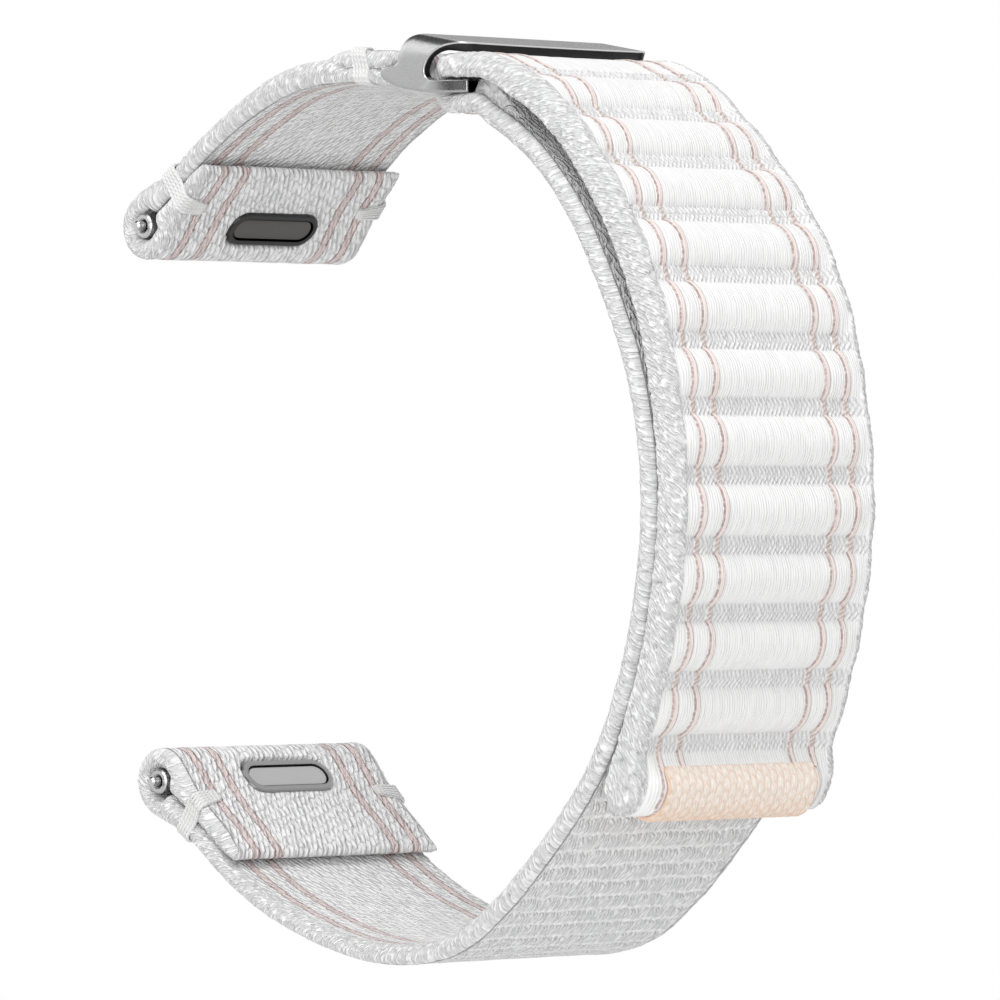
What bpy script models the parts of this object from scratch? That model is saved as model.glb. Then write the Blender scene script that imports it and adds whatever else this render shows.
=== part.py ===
"""Hook and loop watch strap with quick release spring bars and a metal slide buckle.

The loop stands upright in the XZ plane, as it does on a watch seen from its side, and Y runs
across the strap. The watch would sit at -X, between the two spring bars. The origin is the
middle of the lower spring bar. All lengths are in metres.
"""

import math
from collections import namedtuple

import bmesh
import bpy
from mathutils import Matrix, Vector

MM = 0.001
HALF_TURN = 180.0
QUARTER_TURN = 90.0

# Woven ribbon
LOOP_RADIUS = 34.35 * MM
LUG_WIDTH = 22.0 * MM
RIBBON_THICKNESS = 1.5 * MM
FOLD_THICKNESS = 1.15 * MM
SELVEDGE_ROUND = 0.45 * MM
SELVEDGE_ROUND_SHARE = 0.45
LAYER_GAP = 0.3 * MM
FOLDED_GAP = 0.1 * MM

# Where the strap ends lie round the loop, in degrees from +X
LOWER_LUG_ANGLE = -138.7
UPPER_LUG_ANGLE = 140.3
RUN_END_ANGLE = 70.0
TAIL_START_ANGLE = 67.0
HINGE_LEAD_ANGLE = 4.0
BAR_LEAD_ANGLE = 12.0

# Centre line of the long strap: angle, and radius as a share of the loop radius
LONG_RADIUS_SHARES = (
    (-139, 0.958), (-128, 0.956), (-118, 0.9665), (-104, 0.977), (-90, 0.994), (-77, 0.989),
    (-67, 0.9455), (-58, 0.9065), (-50, 0.8835), (-39, 0.861), (-26, 0.8315), (-12, 0.8135),
    (0, 0.8125), (12, 0.8145), (23, 0.8215), (34, 0.832), (49, 0.863), (60, 0.8865), (72, 0.910),
)
# Middle surface of the short strap, which ends on the axis of the buckle's rear bar
SHORT_RADIUS_SHARES = (
    (78, 0.955), (86, 0.963), (92, 0.972), (98, 0.987), (106, 1.0), (120, 1.0015), (141, 1.0),
)
# How far the tail lifts off the run beneath it, as a share of the loop radius
TAIL_LIFT_SHARES = (
    (-44, 0.0260), (-38, 0.0095), (-33, 0.0040), (-26, 0.0025), (-12, 0.003), (0, 0.004),
    (12, 0.0085), (20, 0.0145), (28, 0.0275), (36, 0.0350), (50, 0.0365), (60, 0.0437), (68, 0.046),
)
# How far the ribbon has narrowed from the lugs' width to what the buckle takes
NARROW_SHARES = (
    (-139, 0.0), (-57, 0.128), (34, 0.147), (50, 0.55), (64, 1.0), (96, 1.0), (141, 0.0),
)

# Lug ends: the ribbon turns round the bar tube and is sewn down on the wrist side
UPPER_FLAP_LENGTH = 8.1 * MM
LOWER_FLAP_LENGTH = 10.7 * MM
LUG_SETTLE_LENGTH = 5.2 * MM
LUG_SETBACK = 0.2 * MM
FLAP_END_THICKNESS = 0.7 * MM
FLAP_PRESS_STATIONS = 1.5
FLAP_STEPS = 6
TURN_STEPS = 12
SETTLE_STEPS = 4
RUN_STEP_ANGLE = 4.6

# Spring bars
TUBE_RADIUS = 0.97 * MM
TUBE_BORE_RADIUS = 0.62 * MM
TUBE_MOUTH_RADIUS = 0.48 * MM
TUBE_LIP_LENGTH = 0.5 * MM
TUBE_LIP_ROUND = 0.12 * MM
TUBE_FOLD_GAP = 0.13 * MM
PIN_TIP_RADIUS = 0.38 * MM
PIN_SHANK_RADIUS = 0.55 * MM
PIN_PROTRUSION = 0.75 * MM
PIN_SHANK_LENGTH = 6.0 * MM
PIN_END_ROUND = 0.15 * MM
PIN_SHOULDER_GAP = 0.05 * MM
SPRING_WIRE_RADIUS = 0.09 * MM
SPRING_COIL_RADIUS = 0.42 * MM
SPRING_TURNS = 9
SPRING_STEPS = 8
TUBE_STEPS = 28
PIN_STEPS = 20
REAR_BAR_STEPS = 16
SPRING_END_GAP = 0.05 * MM

# Release buttons
BUTTON_ALONG = 1.95 * MM
BEZEL_LENGTH = 9.4 * MM
BEZEL_WIDTH = 3.1 * MM
BEZEL_RIM = 0.5 * MM
BEZEL_RISE = 0.2 * MM
BEZEL_CHAMFER = 0.15 * MM
BEZEL_DEPTH = 1.35 * MM
WELL_DEPTH = 1.15 * MM
BUTTON_GAP = 0.12 * MM
BUTTON_HEIGHT = 0.55 * MM
BUTTON_SINK = 0.1 * MM
CASE_LENGTH = 8.0 * MM
CASE_WIDTH = 2.2 * MM
CASE_HEIGHT = 0.95 * MM
CASE_SEAT_GAP = 0.06 * MM

# Buckle
BUCKLE_INSET = 0.2 * MM
BUCKLE_WALL = 0.75 * MM
BUCKLE_SIDE_GAP = 0.25 * MM
BUCKLE_LENGTH = LUG_WIDTH - 2 * BUCKLE_INSET
BUCKLE_INNER_LENGTH = BUCKLE_LENGTH - 2 * BUCKLE_WALL
BUCKLE_EDGE_ROUND = 0.3 * MM
BUCKLE_CENTRE_ANGLE = 76.35
BUCKLE_CENTRE_SHARE = 0.950
FRONT_BAR_WIDTH = 3.0 * MM
FRONT_BAR_HEIGHT = 0.8 * MM
REAR_BAR_RADIUS = 0.55 * MM
REAR_BAR_BACK = 5.65 * MM
REAR_BAR_RISE = 1.3 * MM
TOP_BAR_BACK = 4.0 * MM
TOP_BAR_UNDER = 2.9 * MM
SLOT_BACK = 1.3 * MM
BAR_FOLD_GAP = 0.25 * MM
FOLD_UNDER_SHARE = 0.9
FOLD_OVER_SHARE = 1.2
FOLD_START_SHARE = 0.35
FOLD_END_SHARE = 0.3
FOLD_STEPS = 10

# Outline of the buckle's end plates, from the middle of the front bar, as shares of its sizes
PLATE_REACH = 1.5 * MM
PLATE_BACK = 8.2 * MM
PLATE_RISE = 4.05 * MM
PLATE_DROP = 0.6 * MM
MOUTH_TOP_SHARE = 0.65

# Ribbed tail
RIB_COUNT = 11
RIB_LENGTH = 4.9 * MM
RIB_CREST_HEIGHT = 2.6 * MM
RIB_FLOOR_HEIGHT = 1.75 * MM
TAIL_EDGE_HEIGHT = 2.3 * MM
TAIL_END_LENGTH = 5.5 * MM
TAIL_END_HEIGHT = 4.1 * MM
RIB_FLOOR_SHARE = 0.3
RIB_FLANK_SHARES = (0.07, 0.17)
RIB_FULLNESS = 0.8
CROWN_SHARES = ((0.62, 0.04), (0.84, 0.3))
END_SWELL_SHARE = 0.55
END_LEAST_SHARE = 0.02
END_STEPS = 5
END_ROUND_ANGLES = (18, 36, 52, 66, 78, 84)
TAIL_STEP_ANGLE = 0.5
TAIL_SPLIT_RIB = 7
HINGE_GAP = 0.3 * MM

# End tab and hook patch
TAB_WIDTH = 16.6 * MM
TAB_THICKNESS = 0.55 * MM
TAB_GAP = 0.15 * MM
TAB_SINK = 0.1 * MM
TAB_FRONT_LENGTH = 3.4 * MM
PATCH_LENGTH = 17.0 * MM
PATCH_THICKNESS = 0.7 * MM
PATCH_END = 3.2 * MM
TAB_STEPS = 18
SEAT_STEPS = 20
PATCH_STEPS = 8

# Whip stitches that pinch the folds shut at their edges
TACK_ALONG = 3.6 * MM
TACK_THREADS = 4
TACK_HEIGHT = 0.3 * MM
THREAD_WIDTH = 0.42 * MM
TACK_REACH = 2.6 * MM
TACK_GAP = 0.1 * MM
TACK_TURN_ANGLES = (0, 30, 60, 90)
THREAD_SHARES = ((0.15, 0.65), (0.5, 1.0), (0.85, 0.65))
BUCKLE_TACK_ALONG = 4.4 * MM
BUCKLE_FLAP_LENGTH = 8.3 * MM
FLAP_CLOSE_SHARE = 0.6
DOUBLE_LAYER_SHARE = 1.9
SINGLE_START_SHARE = 0.8
DOUBLE_STEPS = 8
OUTER_FLAP_STEPS = 5

CUT_OVERRUN = 1.0 * MM
WELD_DISTANCE = 0.001 * MM
ROUND_STEPS = 32

Station = namedtuple("Station", "point normal inner outer half_width")


# Curves and frames in the loop's plane

def through(table, x):
    """Smooth curve through a table of (x, y), read at x."""
    if x <= table[0][0]:
        return table[0][1]
    if x >= table[-1][0]:
        return table[-1][1]
    k = max(i for i in range(len(table) - 1) if table[i][0] <= x)
    (x0, y0), (x1, y1) = table[k], table[k + 1]
    chord = (y1 - y0) / (x1 - x0)
    before = table[k - 1] if k > 0 else (x0 - (x1 - x0), y0 - (y1 - y0))
    after = table[k + 2] if k + 2 < len(table) else (x1 + (x1 - x0), y1 + (y1 - y0))
    slope0 = (y1 - before[1]) / (x1 - before[0]) if k > 0 else chord
    slope1 = (after[1] - y0) / (after[0] - x0)
    t = (x - x0) / (x1 - x0)
    width = x1 - x0
    return ((2 * t ** 3 - 3 * t ** 2 + 1) * y0 + (t ** 3 - 2 * t ** 2 + t) * width * slope0
            + (-2 * t ** 3 + 3 * t ** 2) * y1 + (t ** 3 - t ** 2) * width * slope1)


def ease(x):
    """Zero below 0, one above 1, and a smooth step between."""
    x = min(max(x, 0.0), 1.0)
    return x * x * (3 - 2 * x)


def polar(radius, degrees):
    return Vector((radius * math.cos(math.radians(degrees)), 0.0,
                   radius * math.sin(math.radians(degrees))))


def outward(degrees):
    return polar(1.0, degrees)


def arc(centre, radius, start, end, steps):
    return [centre + polar(radius, start + (end - start) * k / steps) for k in range(steps + 1)]


def spread(start, end, count):
    return [start + (end - start) * k / count for k in range(count + 1)]


def long_radius(degrees):
    return LOOP_RADIUS * through(LONG_RADIUS_SHARES, degrees)


def short_radius(degrees):
    return LOOP_RADIUS * through(SHORT_RADIUS_SHARES, degrees)


def tail_radius(degrees):
    """Radius of the tail's underside, which rests on the run beneath it."""
    lift = LOOP_RADIUS * through(TAIL_LIFT_SHARES, degrees)
    return long_radius(degrees) + RIBBON_THICKNESS / 2 + LAYER_GAP + lift


LOWER_BAR = polar(long_radius(LOWER_LUG_ANGLE) - LUG_SETBACK, LOWER_LUG_ANGLE)
UPPER_BAR = polar(short_radius(UPPER_LUG_ANGLE) - LUG_SETBACK, UPPER_LUG_ANGLE)
FRONT_BAR = polar(LOOP_RADIUS * BUCKLE_CENTRE_SHARE, BUCKLE_CENTRE_ANGLE)
REAR_BAR = FRONT_BAR + Vector((-REAR_BAR_BACK, 0.0, REAR_BAR_RISE))
ORIGIN = LOWER_BAR


def half_width(degrees):
    """The strap narrows from its lugs to the buckle."""
    wide = LUG_WIDTH / 2
    narrow = BUCKLE_INNER_LENGTH / 2 - BUCKLE_SIDE_GAP
    return wide - (wide - narrow) * through(NARROW_SHARES, degrees)


# Scene helpers

def clear_scene():
    for old in list(bpy.data.objects):
        bpy.data.objects.remove(old)


def new_collection(name):
    collection = bpy.data.collections.new(name)
    bpy.context.scene.collection.children.link(collection)
    return collection


clear_scene()
PARTS = new_collection("hook_and_loop_watch_strap")
CUTTERS = new_collection("cutters")


def principled(name, colour, roughness, metallic=0.0):
    material = bpy.data.materials.new(name)
    material.use_nodes = True
    shader = material.node_tree.nodes["Principled BSDF"]
    shader.inputs["Base Color"].default_value = (*colour, 1.0)
    shader.inputs["Roughness"].default_value = roughness
    shader.inputs["Metallic"].default_value = metallic
    return material


def add_object(name, data, collection=None):
    thing = bpy.data.objects.new(name, data)
    (collection or PARTS).objects.link(thing)
    return thing


def finish_mesh(bm, name, collection=None):
    bmesh.ops.recalc_face_normals(bm, faces=bm.faces)
    mesh = bpy.data.meshes.new(name)
    bm.to_mesh(mesh)
    bm.free()
    thing = add_object(name, mesh, collection)
    mesh.shade_smooth()
    mesh.set_sharp_from_angle(angle=math.radians(40))
    return thing


def paint(thing, material):
    thing.data.materials.clear()
    thing.data.materials.append(material)
    return thing


def cutter(thing):
    """Hide a guide or cutter from the render and show it as wires."""
    for collection in list(thing.users_collection):
        collection.objects.unlink(thing)
    CUTTERS.objects.link(thing)
    thing.hide_render = True
    thing.display_type = "WIRE"
    return thing


def boolean(thing, tool, operation="DIFFERENCE"):
    modifier = thing.modifiers.new(operation.lower(), "BOOLEAN")
    modifier.object = cutter(tool)
    modifier.operation = operation
    modifier.solver = "EXACT"
    return thing


def joint_empty(name, point, parent=None):
    """Empty on a joint's axis, which the pieces of its body hang on."""
    empty = add_object(name, None)
    empty.empty_display_size = TUBE_RADIUS
    empty.location = point - ORIGIN
    carry([empty], parent)
    return empty


def carry(things, parent):
    """Hang objects on a parent and leave them where they are."""
    bpy.context.view_layer.update()
    for thing in things:
        if parent:
            thing.parent = parent
            thing.matrix_parent_inverse = parent.matrix_world.inverted()


def as_mesh(curve_object):
    """Replace a curve object by the closed mesh that it evaluates to."""
    depsgraph = bpy.context.evaluated_depsgraph_get()
    mesh = bpy.data.meshes.new_from_object(curve_object.evaluated_get(depsgraph))
    name = curve_object.name
    matrix = curve_object.matrix_world.copy()
    bpy.data.objects.remove(curve_object)
    bm = bmesh.new()
    bm.from_mesh(mesh)
    bpy.data.meshes.remove(mesh)
    bmesh.ops.remove_doubles(bm, verts=bm.verts, dist=WELD_DISTANCE)
    thing = finish_mesh(bm, name)
    thing.matrix_world = matrix
    return thing


# Solids

def extruded(name, points, depth, matrix, rounding=0.0):
    """Flat outline in its own XY plane, thickened both ways and placed by a matrix."""
    curve = bpy.data.curves.new(name, "CURVE")
    curve.dimensions = "2D"
    curve.fill_mode = "BOTH"
    curve.extrude = depth / 2 - rounding
    curve.bevel_depth = rounding
    curve.bevel_resolution = 1
    curve.offset = -rounding
    spline = curve.splines.new("POLY")
    spline.points.add(len(points) - 1)
    for place, (x, y) in zip(spline.points, points):
        place.co = (x, y, 0.0, 1.0)
    spline.use_cyclic_u = True
    thing = add_object(name, curve)
    thing.matrix_world = matrix
    bpy.context.view_layer.update()
    return as_mesh(thing)


def box(name, low, high):
    """Box between two corners of the loop's frame."""
    low = low - ORIGIN
    high = high - ORIGIN
    bpy.ops.mesh.primitive_cube_add(size=1, location=(low + high) / 2)
    thing = bpy.context.active_object
    thing.name = name
    thing.data.transform(Matrix.Diagonal((*(high - low), 1.0)))
    return cutter(thing)


def turned(name, profile, matrix, steps=ROUND_STEPS):
    """Revolve a closed profile of (radius, height) about the local Z axis."""
    bm = bmesh.new()
    verts = [bm.verts.new((radius, 0.0, height)) for radius, height in profile]
    for first, second in zip(verts, verts[1:]):
        bm.edges.new((first, second))
    if profile[0][0] > 0:
        bm.edges.new((verts[-1], verts[0]))
    mesh = bpy.data.meshes.new(name)
    bm.to_mesh(mesh)
    bm.free()
    thing = add_object(name, mesh)
    screw = thing.modifiers.new("screw", "SCREW")
    screw.axis = "Z"
    screw.angle = math.tau
    screw.steps = steps
    screw.render_steps = steps
    screw.use_merge_vertices = True
    screw.merge_threshold = WELD_DISTANCE
    thing.matrix_world = matrix
    return thing


def loft(name, rings, collection=None):
    """Skin equal rings of points and close both ends."""
    bm = bmesh.new()
    loops = [[bm.verts.new(point - ORIGIN) for point in ring] for ring in rings]
    count = len(loops[0])
    for first, second in zip(loops, loops[1:]):
        for i in range(count):
            j = (i + 1) % count
            bm.faces.new((first[i], first[j], second[j], second[i]))
    bm.faces.new(loops[0][::-1])
    bm.faces.new(loops[-1])
    return finish_mesh(bm, name, collection)


def stations(points, inner, outer, widths, last_normal=None):
    """Frames along a line, with the normal on the left of the direction of travel."""
    result = []
    for k, point in enumerate(points):
        before = points[max(k - 1, 0)]
        after = points[min(k + 1, len(points) - 1)]
        along = (after - before).normalized()
        normal = Vector((-along.z, 0.0, along.x))
        if last_normal and k == len(points) - 1:
            normal = last_normal
        result.append(Station(point, normal, inner[k], outer[k], widths[k]))
    return result


def ribbon_ring(station):
    """Flat woven section with rounded selvedges."""
    y = station.half_width
    high, low = station.outer, -station.inner
    r = min(SELVEDGE_ROUND, SELVEDGE_ROUND_SHARE * (high - low))
    c = r * (1 - math.sqrt(1 / 2))
    half = [(y - r, high), (y - c, high - c), (y, high - r)]
    half += [(y, low + r), (y - c, low + c), (y - r, low)]
    section = half + [(-a, b) for a, b in reversed(half)]
    return [station.point + Vector((0.0, a, 0.0)) + station.normal * b for a, b in section]


def ribbon(name, line):
    return loft(name, [ribbon_ring(station) for station in line])


# Straps

def lug_settle(distance):
    return 1.0 - ease(distance / LUG_SETTLE_LENGTH)


def lug_wrap_radius():
    return TUBE_RADIUS + TUBE_FOLD_GAP + RIBBON_THICKNESS / 2


def lug_layers(radius_at, bar, bar_angle, flap_length, last_angle, turn):
    """Centre line from a sewn flap's end, round the bar tube, to last_angle on the strap.

    turn is +1 where angles grow along the strap away from the lug, and -1 where they fall.
    """
    wrap = lug_wrap_radius()
    bar_radius = bar.length
    per_degree = math.radians(1.0) * bar_radius
    flap_step = RIBBON_THICKNESS + FOLDED_GAP
    flap_angle = bar_angle + turn * flap_length / per_degree
    line = []
    for angle in spread(flap_angle, bar_angle, FLAP_STEPS)[:-1]:
        settle = lug_settle(abs(angle - bar_angle) * per_degree)
        drop = flap_step + (wrap + LUG_SETBACK - flap_step) * settle
        line.append((polar(radius_at(angle) - drop, angle), angle))
    start = bar_angle + HALF_TURN
    for angle in spread(start, start + turn * HALF_TURN, TURN_STEPS):
        line.append((bar + polar(wrap, angle), bar_angle))
    settled = bar_angle + turn * LUG_SETTLE_LENGTH / per_degree
    for angle in spread(bar_angle, settled, SETTLE_STEPS)[1:]:
        settle = lug_settle(abs(angle - bar_angle) * per_degree)
        line.append((polar(radius_at(angle) + (wrap - LUG_SETBACK) * settle, angle), angle))
    count = int(abs(last_angle - settled) / RUN_STEP_ANGLE)
    for angle in spread(settled, last_angle, count)[1:]:
        line.append((polar(radius_at(angle), angle), angle))
    return line


def fold_flap_thickness(index):
    """The flap's end is pressed thin where it is sewn down."""
    share = min(index / FLAP_PRESS_STATIONS, 1.0)
    return FLAP_END_THICKNESS + (RIBBON_THICKNESS - FLAP_END_THICKNESS) * share


def front_fold():
    """The ribbon's turn round the buckle's front bar, from the run to the tail."""
    under = RIBBON_THICKNESS * FOLD_UNDER_SHARE
    over = RIBBON_THICKNESS * FOLD_OVER_SHARE
    low = FRONT_BAR.z - FRONT_BAR_HEIGHT / 2 - BAR_FOLD_GAP - under / 2
    high = FRONT_BAR.z + FRONT_BAR_HEIGHT / 2 + BAR_FOLD_GAP + over / 2
    turn = (high - low) / 2
    back = FRONT_BAR.x - (FRONT_BAR_WIDTH + BAR_FOLD_GAP + under) / 2
    centre = Vector((back + turn, 0.0, (high + low) / 2))
    line = [Vector((FRONT_BAR.x + FRONT_BAR_WIDTH * FOLD_START_SHARE, 0.0, low - BAR_FOLD_GAP))]
    line += arc(centre, turn, -QUARTER_TURN, -QUARTER_TURN - HALF_TURN, FOLD_STEPS)
    line.append(Vector((FRONT_BAR.x + FRONT_BAR_WIDTH * FOLD_END_SHARE, 0.0, high)))
    thickness = [under] + spread(under, over, FOLD_STEPS) + [over]
    return line, thickness


def tail_point(degrees, height):
    return polar(tail_radius(degrees) + height, degrees)


def long_strap(material):
    line = lug_layers(long_radius, LOWER_BAR, LOWER_LUG_ANGLE, LOWER_FLAP_LENGTH, RUN_END_ANGLE, 1)
    points = [point for point, _ in line]
    thickness = [fold_flap_thickness(k) for k in range(len(points))]
    widths = [half_width(angle) for _, angle in line]
    fold, fold_thickness = front_fold()
    points += fold
    thickness += fold_thickness
    gap = math.degrees(HINGE_GAP / tail_radius(TAIL_START_ANGLE)) / 2
    for lead, height in ((HINGE_LEAD_ANGLE, TAIL_EDGE_HEIGHT), (gap, RIB_FLOOR_HEIGHT)):
        points.append(tail_point(TAIL_START_ANGLE + lead, height / 2))
        thickness.append(height)
    widths += [half_width(TAIL_START_ANGLE)] * (len(points) - len(widths))
    half = [t / 2 for t in thickness]
    line = stations(points, half, half, widths, outward(TAIL_START_ANGLE))
    return paint(ribbon("long_strap", line), material)


def short_fold():
    """Both layers of the short strap beside the buckle, and their turn round its rear bar."""
    wrap = REAR_BAR_RADIUS + BAR_FOLD_GAP + FOLD_THICKNESS / 2
    rest = (FOLD_THICKNESS + FOLDED_GAP) / 2
    angle = math.degrees(math.atan2(REAR_BAR.z, REAR_BAR.x))
    return wrap, rest, angle


def short_offset(distance):
    """How far each layer lies from the middle surface, at a distance behind the rear bar."""
    wrap, rest, _ = short_fold()
    return rest + (wrap - rest) * (1.0 - ease(distance / (FLAP_CLOSE_SHARE * BUCKLE_FLAP_LENGTH)))


def short_middle(degrees):
    """Middle surface between the two layers, led through the rear bar's axis."""
    _, _, bar_angle = short_fold()
    lead = 1.0 - ease((degrees - bar_angle) / BAR_LEAD_ANGLE)
    return short_radius(degrees) + (REAR_BAR.length - short_radius(bar_angle)) * lead


def short_strap(material):
    wrap, rest, bar_angle = short_fold()
    per_degree = math.radians(1.0) * REAR_BAR.length
    double_end = bar_angle + DOUBLE_LAYER_SHARE * BUCKLE_FLAP_LENGTH / per_degree
    line = lug_layers(short_radius, UPPER_BAR, UPPER_LUG_ANGLE, UPPER_FLAP_LENGTH, double_end, -1)
    points = [point for point, _ in line]
    widths = [half_width(angle) for _, angle in line]
    thickness = [fold_flap_thickness(k) for k in range(len(points))]
    for angle in spread(double_end, bar_angle, DOUBLE_STEPS)[1:-1]:
        distance = (angle - bar_angle) * per_degree
        single = ease(distance / BUCKLE_FLAP_LENGTH - SINGLE_START_SHARE)
        drop = short_offset(distance) * (1.0 - single)
        points.append(polar(short_middle(angle) - drop, angle))
        thickness.append(FOLD_THICKNESS + (RIBBON_THICKNESS - FOLD_THICKNESS) * single)
        widths.append(half_width(angle))
    turn = arc(REAR_BAR, wrap, bar_angle - HALF_TURN, bar_angle, TURN_STEPS)
    points += turn
    thickness += [FOLD_THICKNESS] * len(turn)
    widths += [half_width(bar_angle)] * len(turn)
    flap_end = bar_angle + BUCKLE_FLAP_LENGTH / per_degree
    for angle in spread(bar_angle, flap_end, OUTER_FLAP_STEPS)[1:]:
        distance = (angle - bar_angle) * per_degree
        points.append(polar(short_middle(angle) + short_offset(distance), angle))
        thickness.append(FOLD_THICKNESS if angle < flap_end else FLAP_END_THICKNESS)
        widths.append(half_width(angle))
    half = [t / 2 for t in thickness]
    line = stations(points, half, half, widths)
    return paint(ribbon("short_strap", line), material)


# Ribbed tail

def tail_angle(distance):
    """Angle on the tail's underside at a distance from its start."""
    angle = TAIL_START_ANGLE
    left = distance
    while left > 0:
        piece = math.radians(TAIL_STEP_ANGLE) * tail_radius(angle)
        if piece > left:
            return angle - TAIL_STEP_ANGLE * left / piece
        left -= piece
        angle -= TAIL_STEP_ANGLE
    return angle


RIBS_LENGTH = RIB_COUNT * RIB_LENGTH
TAIL_LENGTH = RIBS_LENGTH + TAIL_END_LENGTH


def end_swell(distance):
    """Zero along the ribs, and one where the tail's end is at its thickest."""
    return ease((distance - RIBS_LENGTH) / (END_SWELL_SHARE * TAIL_END_LENGTH))


def rib_height(distance):
    """Height of the cushions and channels above the underside."""
    if distance > RIBS_LENGTH:
        return RIB_FLOOR_HEIGHT + (TAIL_END_HEIGHT - RIB_FLOOR_HEIGHT) * end_swell(distance)
    phase = (distance / RIB_LENGTH) % 1.0
    rise = 2 * min(phase, 1.0 - phase) - RIB_FLOOR_SHARE
    if rise <= 0:
        return RIB_FLOOR_HEIGHT
    share = math.sin(math.pi / 2 * min(rise / (1.0 - RIB_FLOOR_SHARE), 1.0)) ** RIB_FULLNESS
    return RIB_FLOOR_HEIGHT + (RIB_CREST_HEIGHT - RIB_FLOOR_HEIGHT) * share


def tail_edge(distance):
    """Height of the tail's two edges, which swell into a rounded end."""
    return TAIL_EDGE_HEIGHT + (TAIL_END_HEIGHT - TAIL_EDGE_HEIGHT) * end_swell(distance)


def end_round(distance):
    """Share of the tail's height that is left where its end rounds off."""
    radius = TAIL_END_HEIGHT / 2
    past = distance - (TAIL_LENGTH - radius)
    if past <= 0:
        return 1.0
    return math.sqrt(max(1.0 - (past / radius) ** 2, END_LEAST_SHARE))


def tail_ring(distance):
    """Crowned section of the tail: flat below, low at the edges, full in the middle."""
    angle = tail_angle(distance)
    normal = outward(angle)
    share = end_round(distance)
    middle = TAIL_END_HEIGHT / 2
    edge, crest = tail_edge(distance), rib_height(distance)
    y, r = half_width(angle), SELVEDGE_ROUND
    half = [(0.0, crest)]
    half += [(reach * y, crest - fall * (crest - edge)) for reach, fall in CROWN_SHARES]
    half += [(y - r, edge), (y, edge - r), (y, r), (y - r, 0.0)]
    section = half + [(-a, b) for a, b in reversed(half[1:])]
    base = polar(tail_radius(angle), angle)
    points = []
    for a, b in section:
        b = middle + (b - middle) * share if share < 1.0 else b
        points.append(base + Vector((0.0, a, 0.0)) + normal * b)
    return points


def tail_distances(start, end):
    """Stations at the floors' edges, on the flanks and over the crowns."""
    floor = RIB_FLOOR_SHARE / 2
    flanks = [floor + share for share in RIB_FLANK_SHARES]
    marks = [-floor, floor, 1 / 2] + flanks + [1 - mark for mark in flanks]
    body = [start] + [(rib + mark) * RIB_LENGTH for rib in range(RIB_COUNT) for mark in marks]
    if end < RIBS_LENGTH:
        body.append(end)
    else:
        radius = TAIL_END_HEIGHT / 2
        body += spread(RIBS_LENGTH - floor * RIB_LENGTH, TAIL_LENGTH - radius, END_STEPS)
        body += [TAIL_LENGTH - radius + radius * math.sin(math.radians(a)) for a in END_ROUND_ANGLES]
    return sorted(d for d in body if start <= d <= end)


def tail_piece(name, start, end, material):
    rings = [tail_ring(distance) for distance in tail_distances(start, end)]
    return paint(loft(name, rings), material)


def tail_skin(distance, depth):
    """Point on the tail's long section at a depth below its skin, past the end and back.

    Negative distances from the end run up the outer side, positive ones up the underside.
    """
    radius = TAIL_END_HEIGHT / 2
    quarter = radius * math.pi
    start = TAIL_LENGTH - radius
    if distance < -quarter / 2:
        place = start + distance + quarter / 2
        angle = tail_angle(place)
        return polar(tail_radius(angle) + rib_height(place) - depth, angle)
    if distance > quarter / 2:
        place = start - (distance - quarter / 2)
        angle = tail_angle(place)
        return polar(tail_radius(angle) + depth, angle)
    angle = tail_angle(start)
    turn = distance / radius
    centre = polar(tail_radius(angle) + radius, angle)
    along = Vector((outward(angle).z, 0.0, -outward(angle).x))
    return centre + (along * math.cos(turn) - outward(angle) * math.sin(turn)) * (radius - depth)


def tail_wrap(name, distances, depth, thickness, width):
    """Flat tape that follows the tail's skin, through distances from its end."""
    points = [tail_skin(d, depth + thickness / 2) for d in distances]
    half = [thickness / 2] * len(points)
    return ribbon(name, stations(points, half, half, [width / 2] * len(points)))


END_ARC = TAIL_END_HEIGHT / 2 * math.pi / 2
TAB_START = -END_ARC - TAB_FRONT_LENGTH + TAIL_END_HEIGHT / 2
TAB_FINISH = END_ARC + PATCH_END - TAIL_END_HEIGHT / 2
PATCH_START = TAB_FINISH + 2 * TAB_GAP


def end_tab(material):
    """Woven tab that is folded over the tail's end."""
    tab = tail_wrap("end_tab", spread(TAB_START, TAB_FINISH, TAB_STEPS), TAB_SINK, TAB_THICKNESS, TAB_WIDTH)
    return paint(tab, material)


def hook_patch(material):
    """Hook side of the fastener, on the tail's underside."""
    distances = spread(PATCH_START, PATCH_START + PATCH_LENGTH, PATCH_STEPS)
    patch = tail_wrap("hook_patch", distances, 0.0, PATCH_THICKNESS, TAB_WIDTH)
    return paint(patch, material)


def end_seat():
    """Cutter for the recess that the tab and the patch lie in."""
    distances = spread(TAB_START - 2 * TAB_GAP, PATCH_START, SEAT_STEPS)
    distances += spread(PATCH_START, PATCH_START + PATCH_LENGTH + TAB_GAP, PATCH_STEPS)[1:]
    return tail_wrap("end_seat", distances, -CUT_OVERRUN, PATCH_THICKNESS + TAB_GAP + CUT_OVERRUN,
                     TAB_WIDTH + 2 * TAB_GAP)


# Buckle

def buckle_outline():
    """Outer outline of an end plate, in shares of its reach, back, rise and drop."""
    shares = (
        (1.0, -1.0), (-0.20, -0.95), (-0.42, -0.62), (-0.70, 0.10), (-0.93, 0.27), (-1.0, 0.34),
        (-0.985, 0.385), (-0.86, 0.45), (-0.775, 0.56), (-0.71, 0.74), (-0.64, 0.865), (-0.55, 0.955),
        (-0.43, 1.0), (-0.31, 1.0), (0.48, 0.80), (1.0, 0.30),
    )
    return [(PLATE_REACH * x if x > 0 else PLATE_BACK * x,
             PLATE_RISE * z if z > 0 else PLATE_DROP * z) for x, z in shares]


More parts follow.
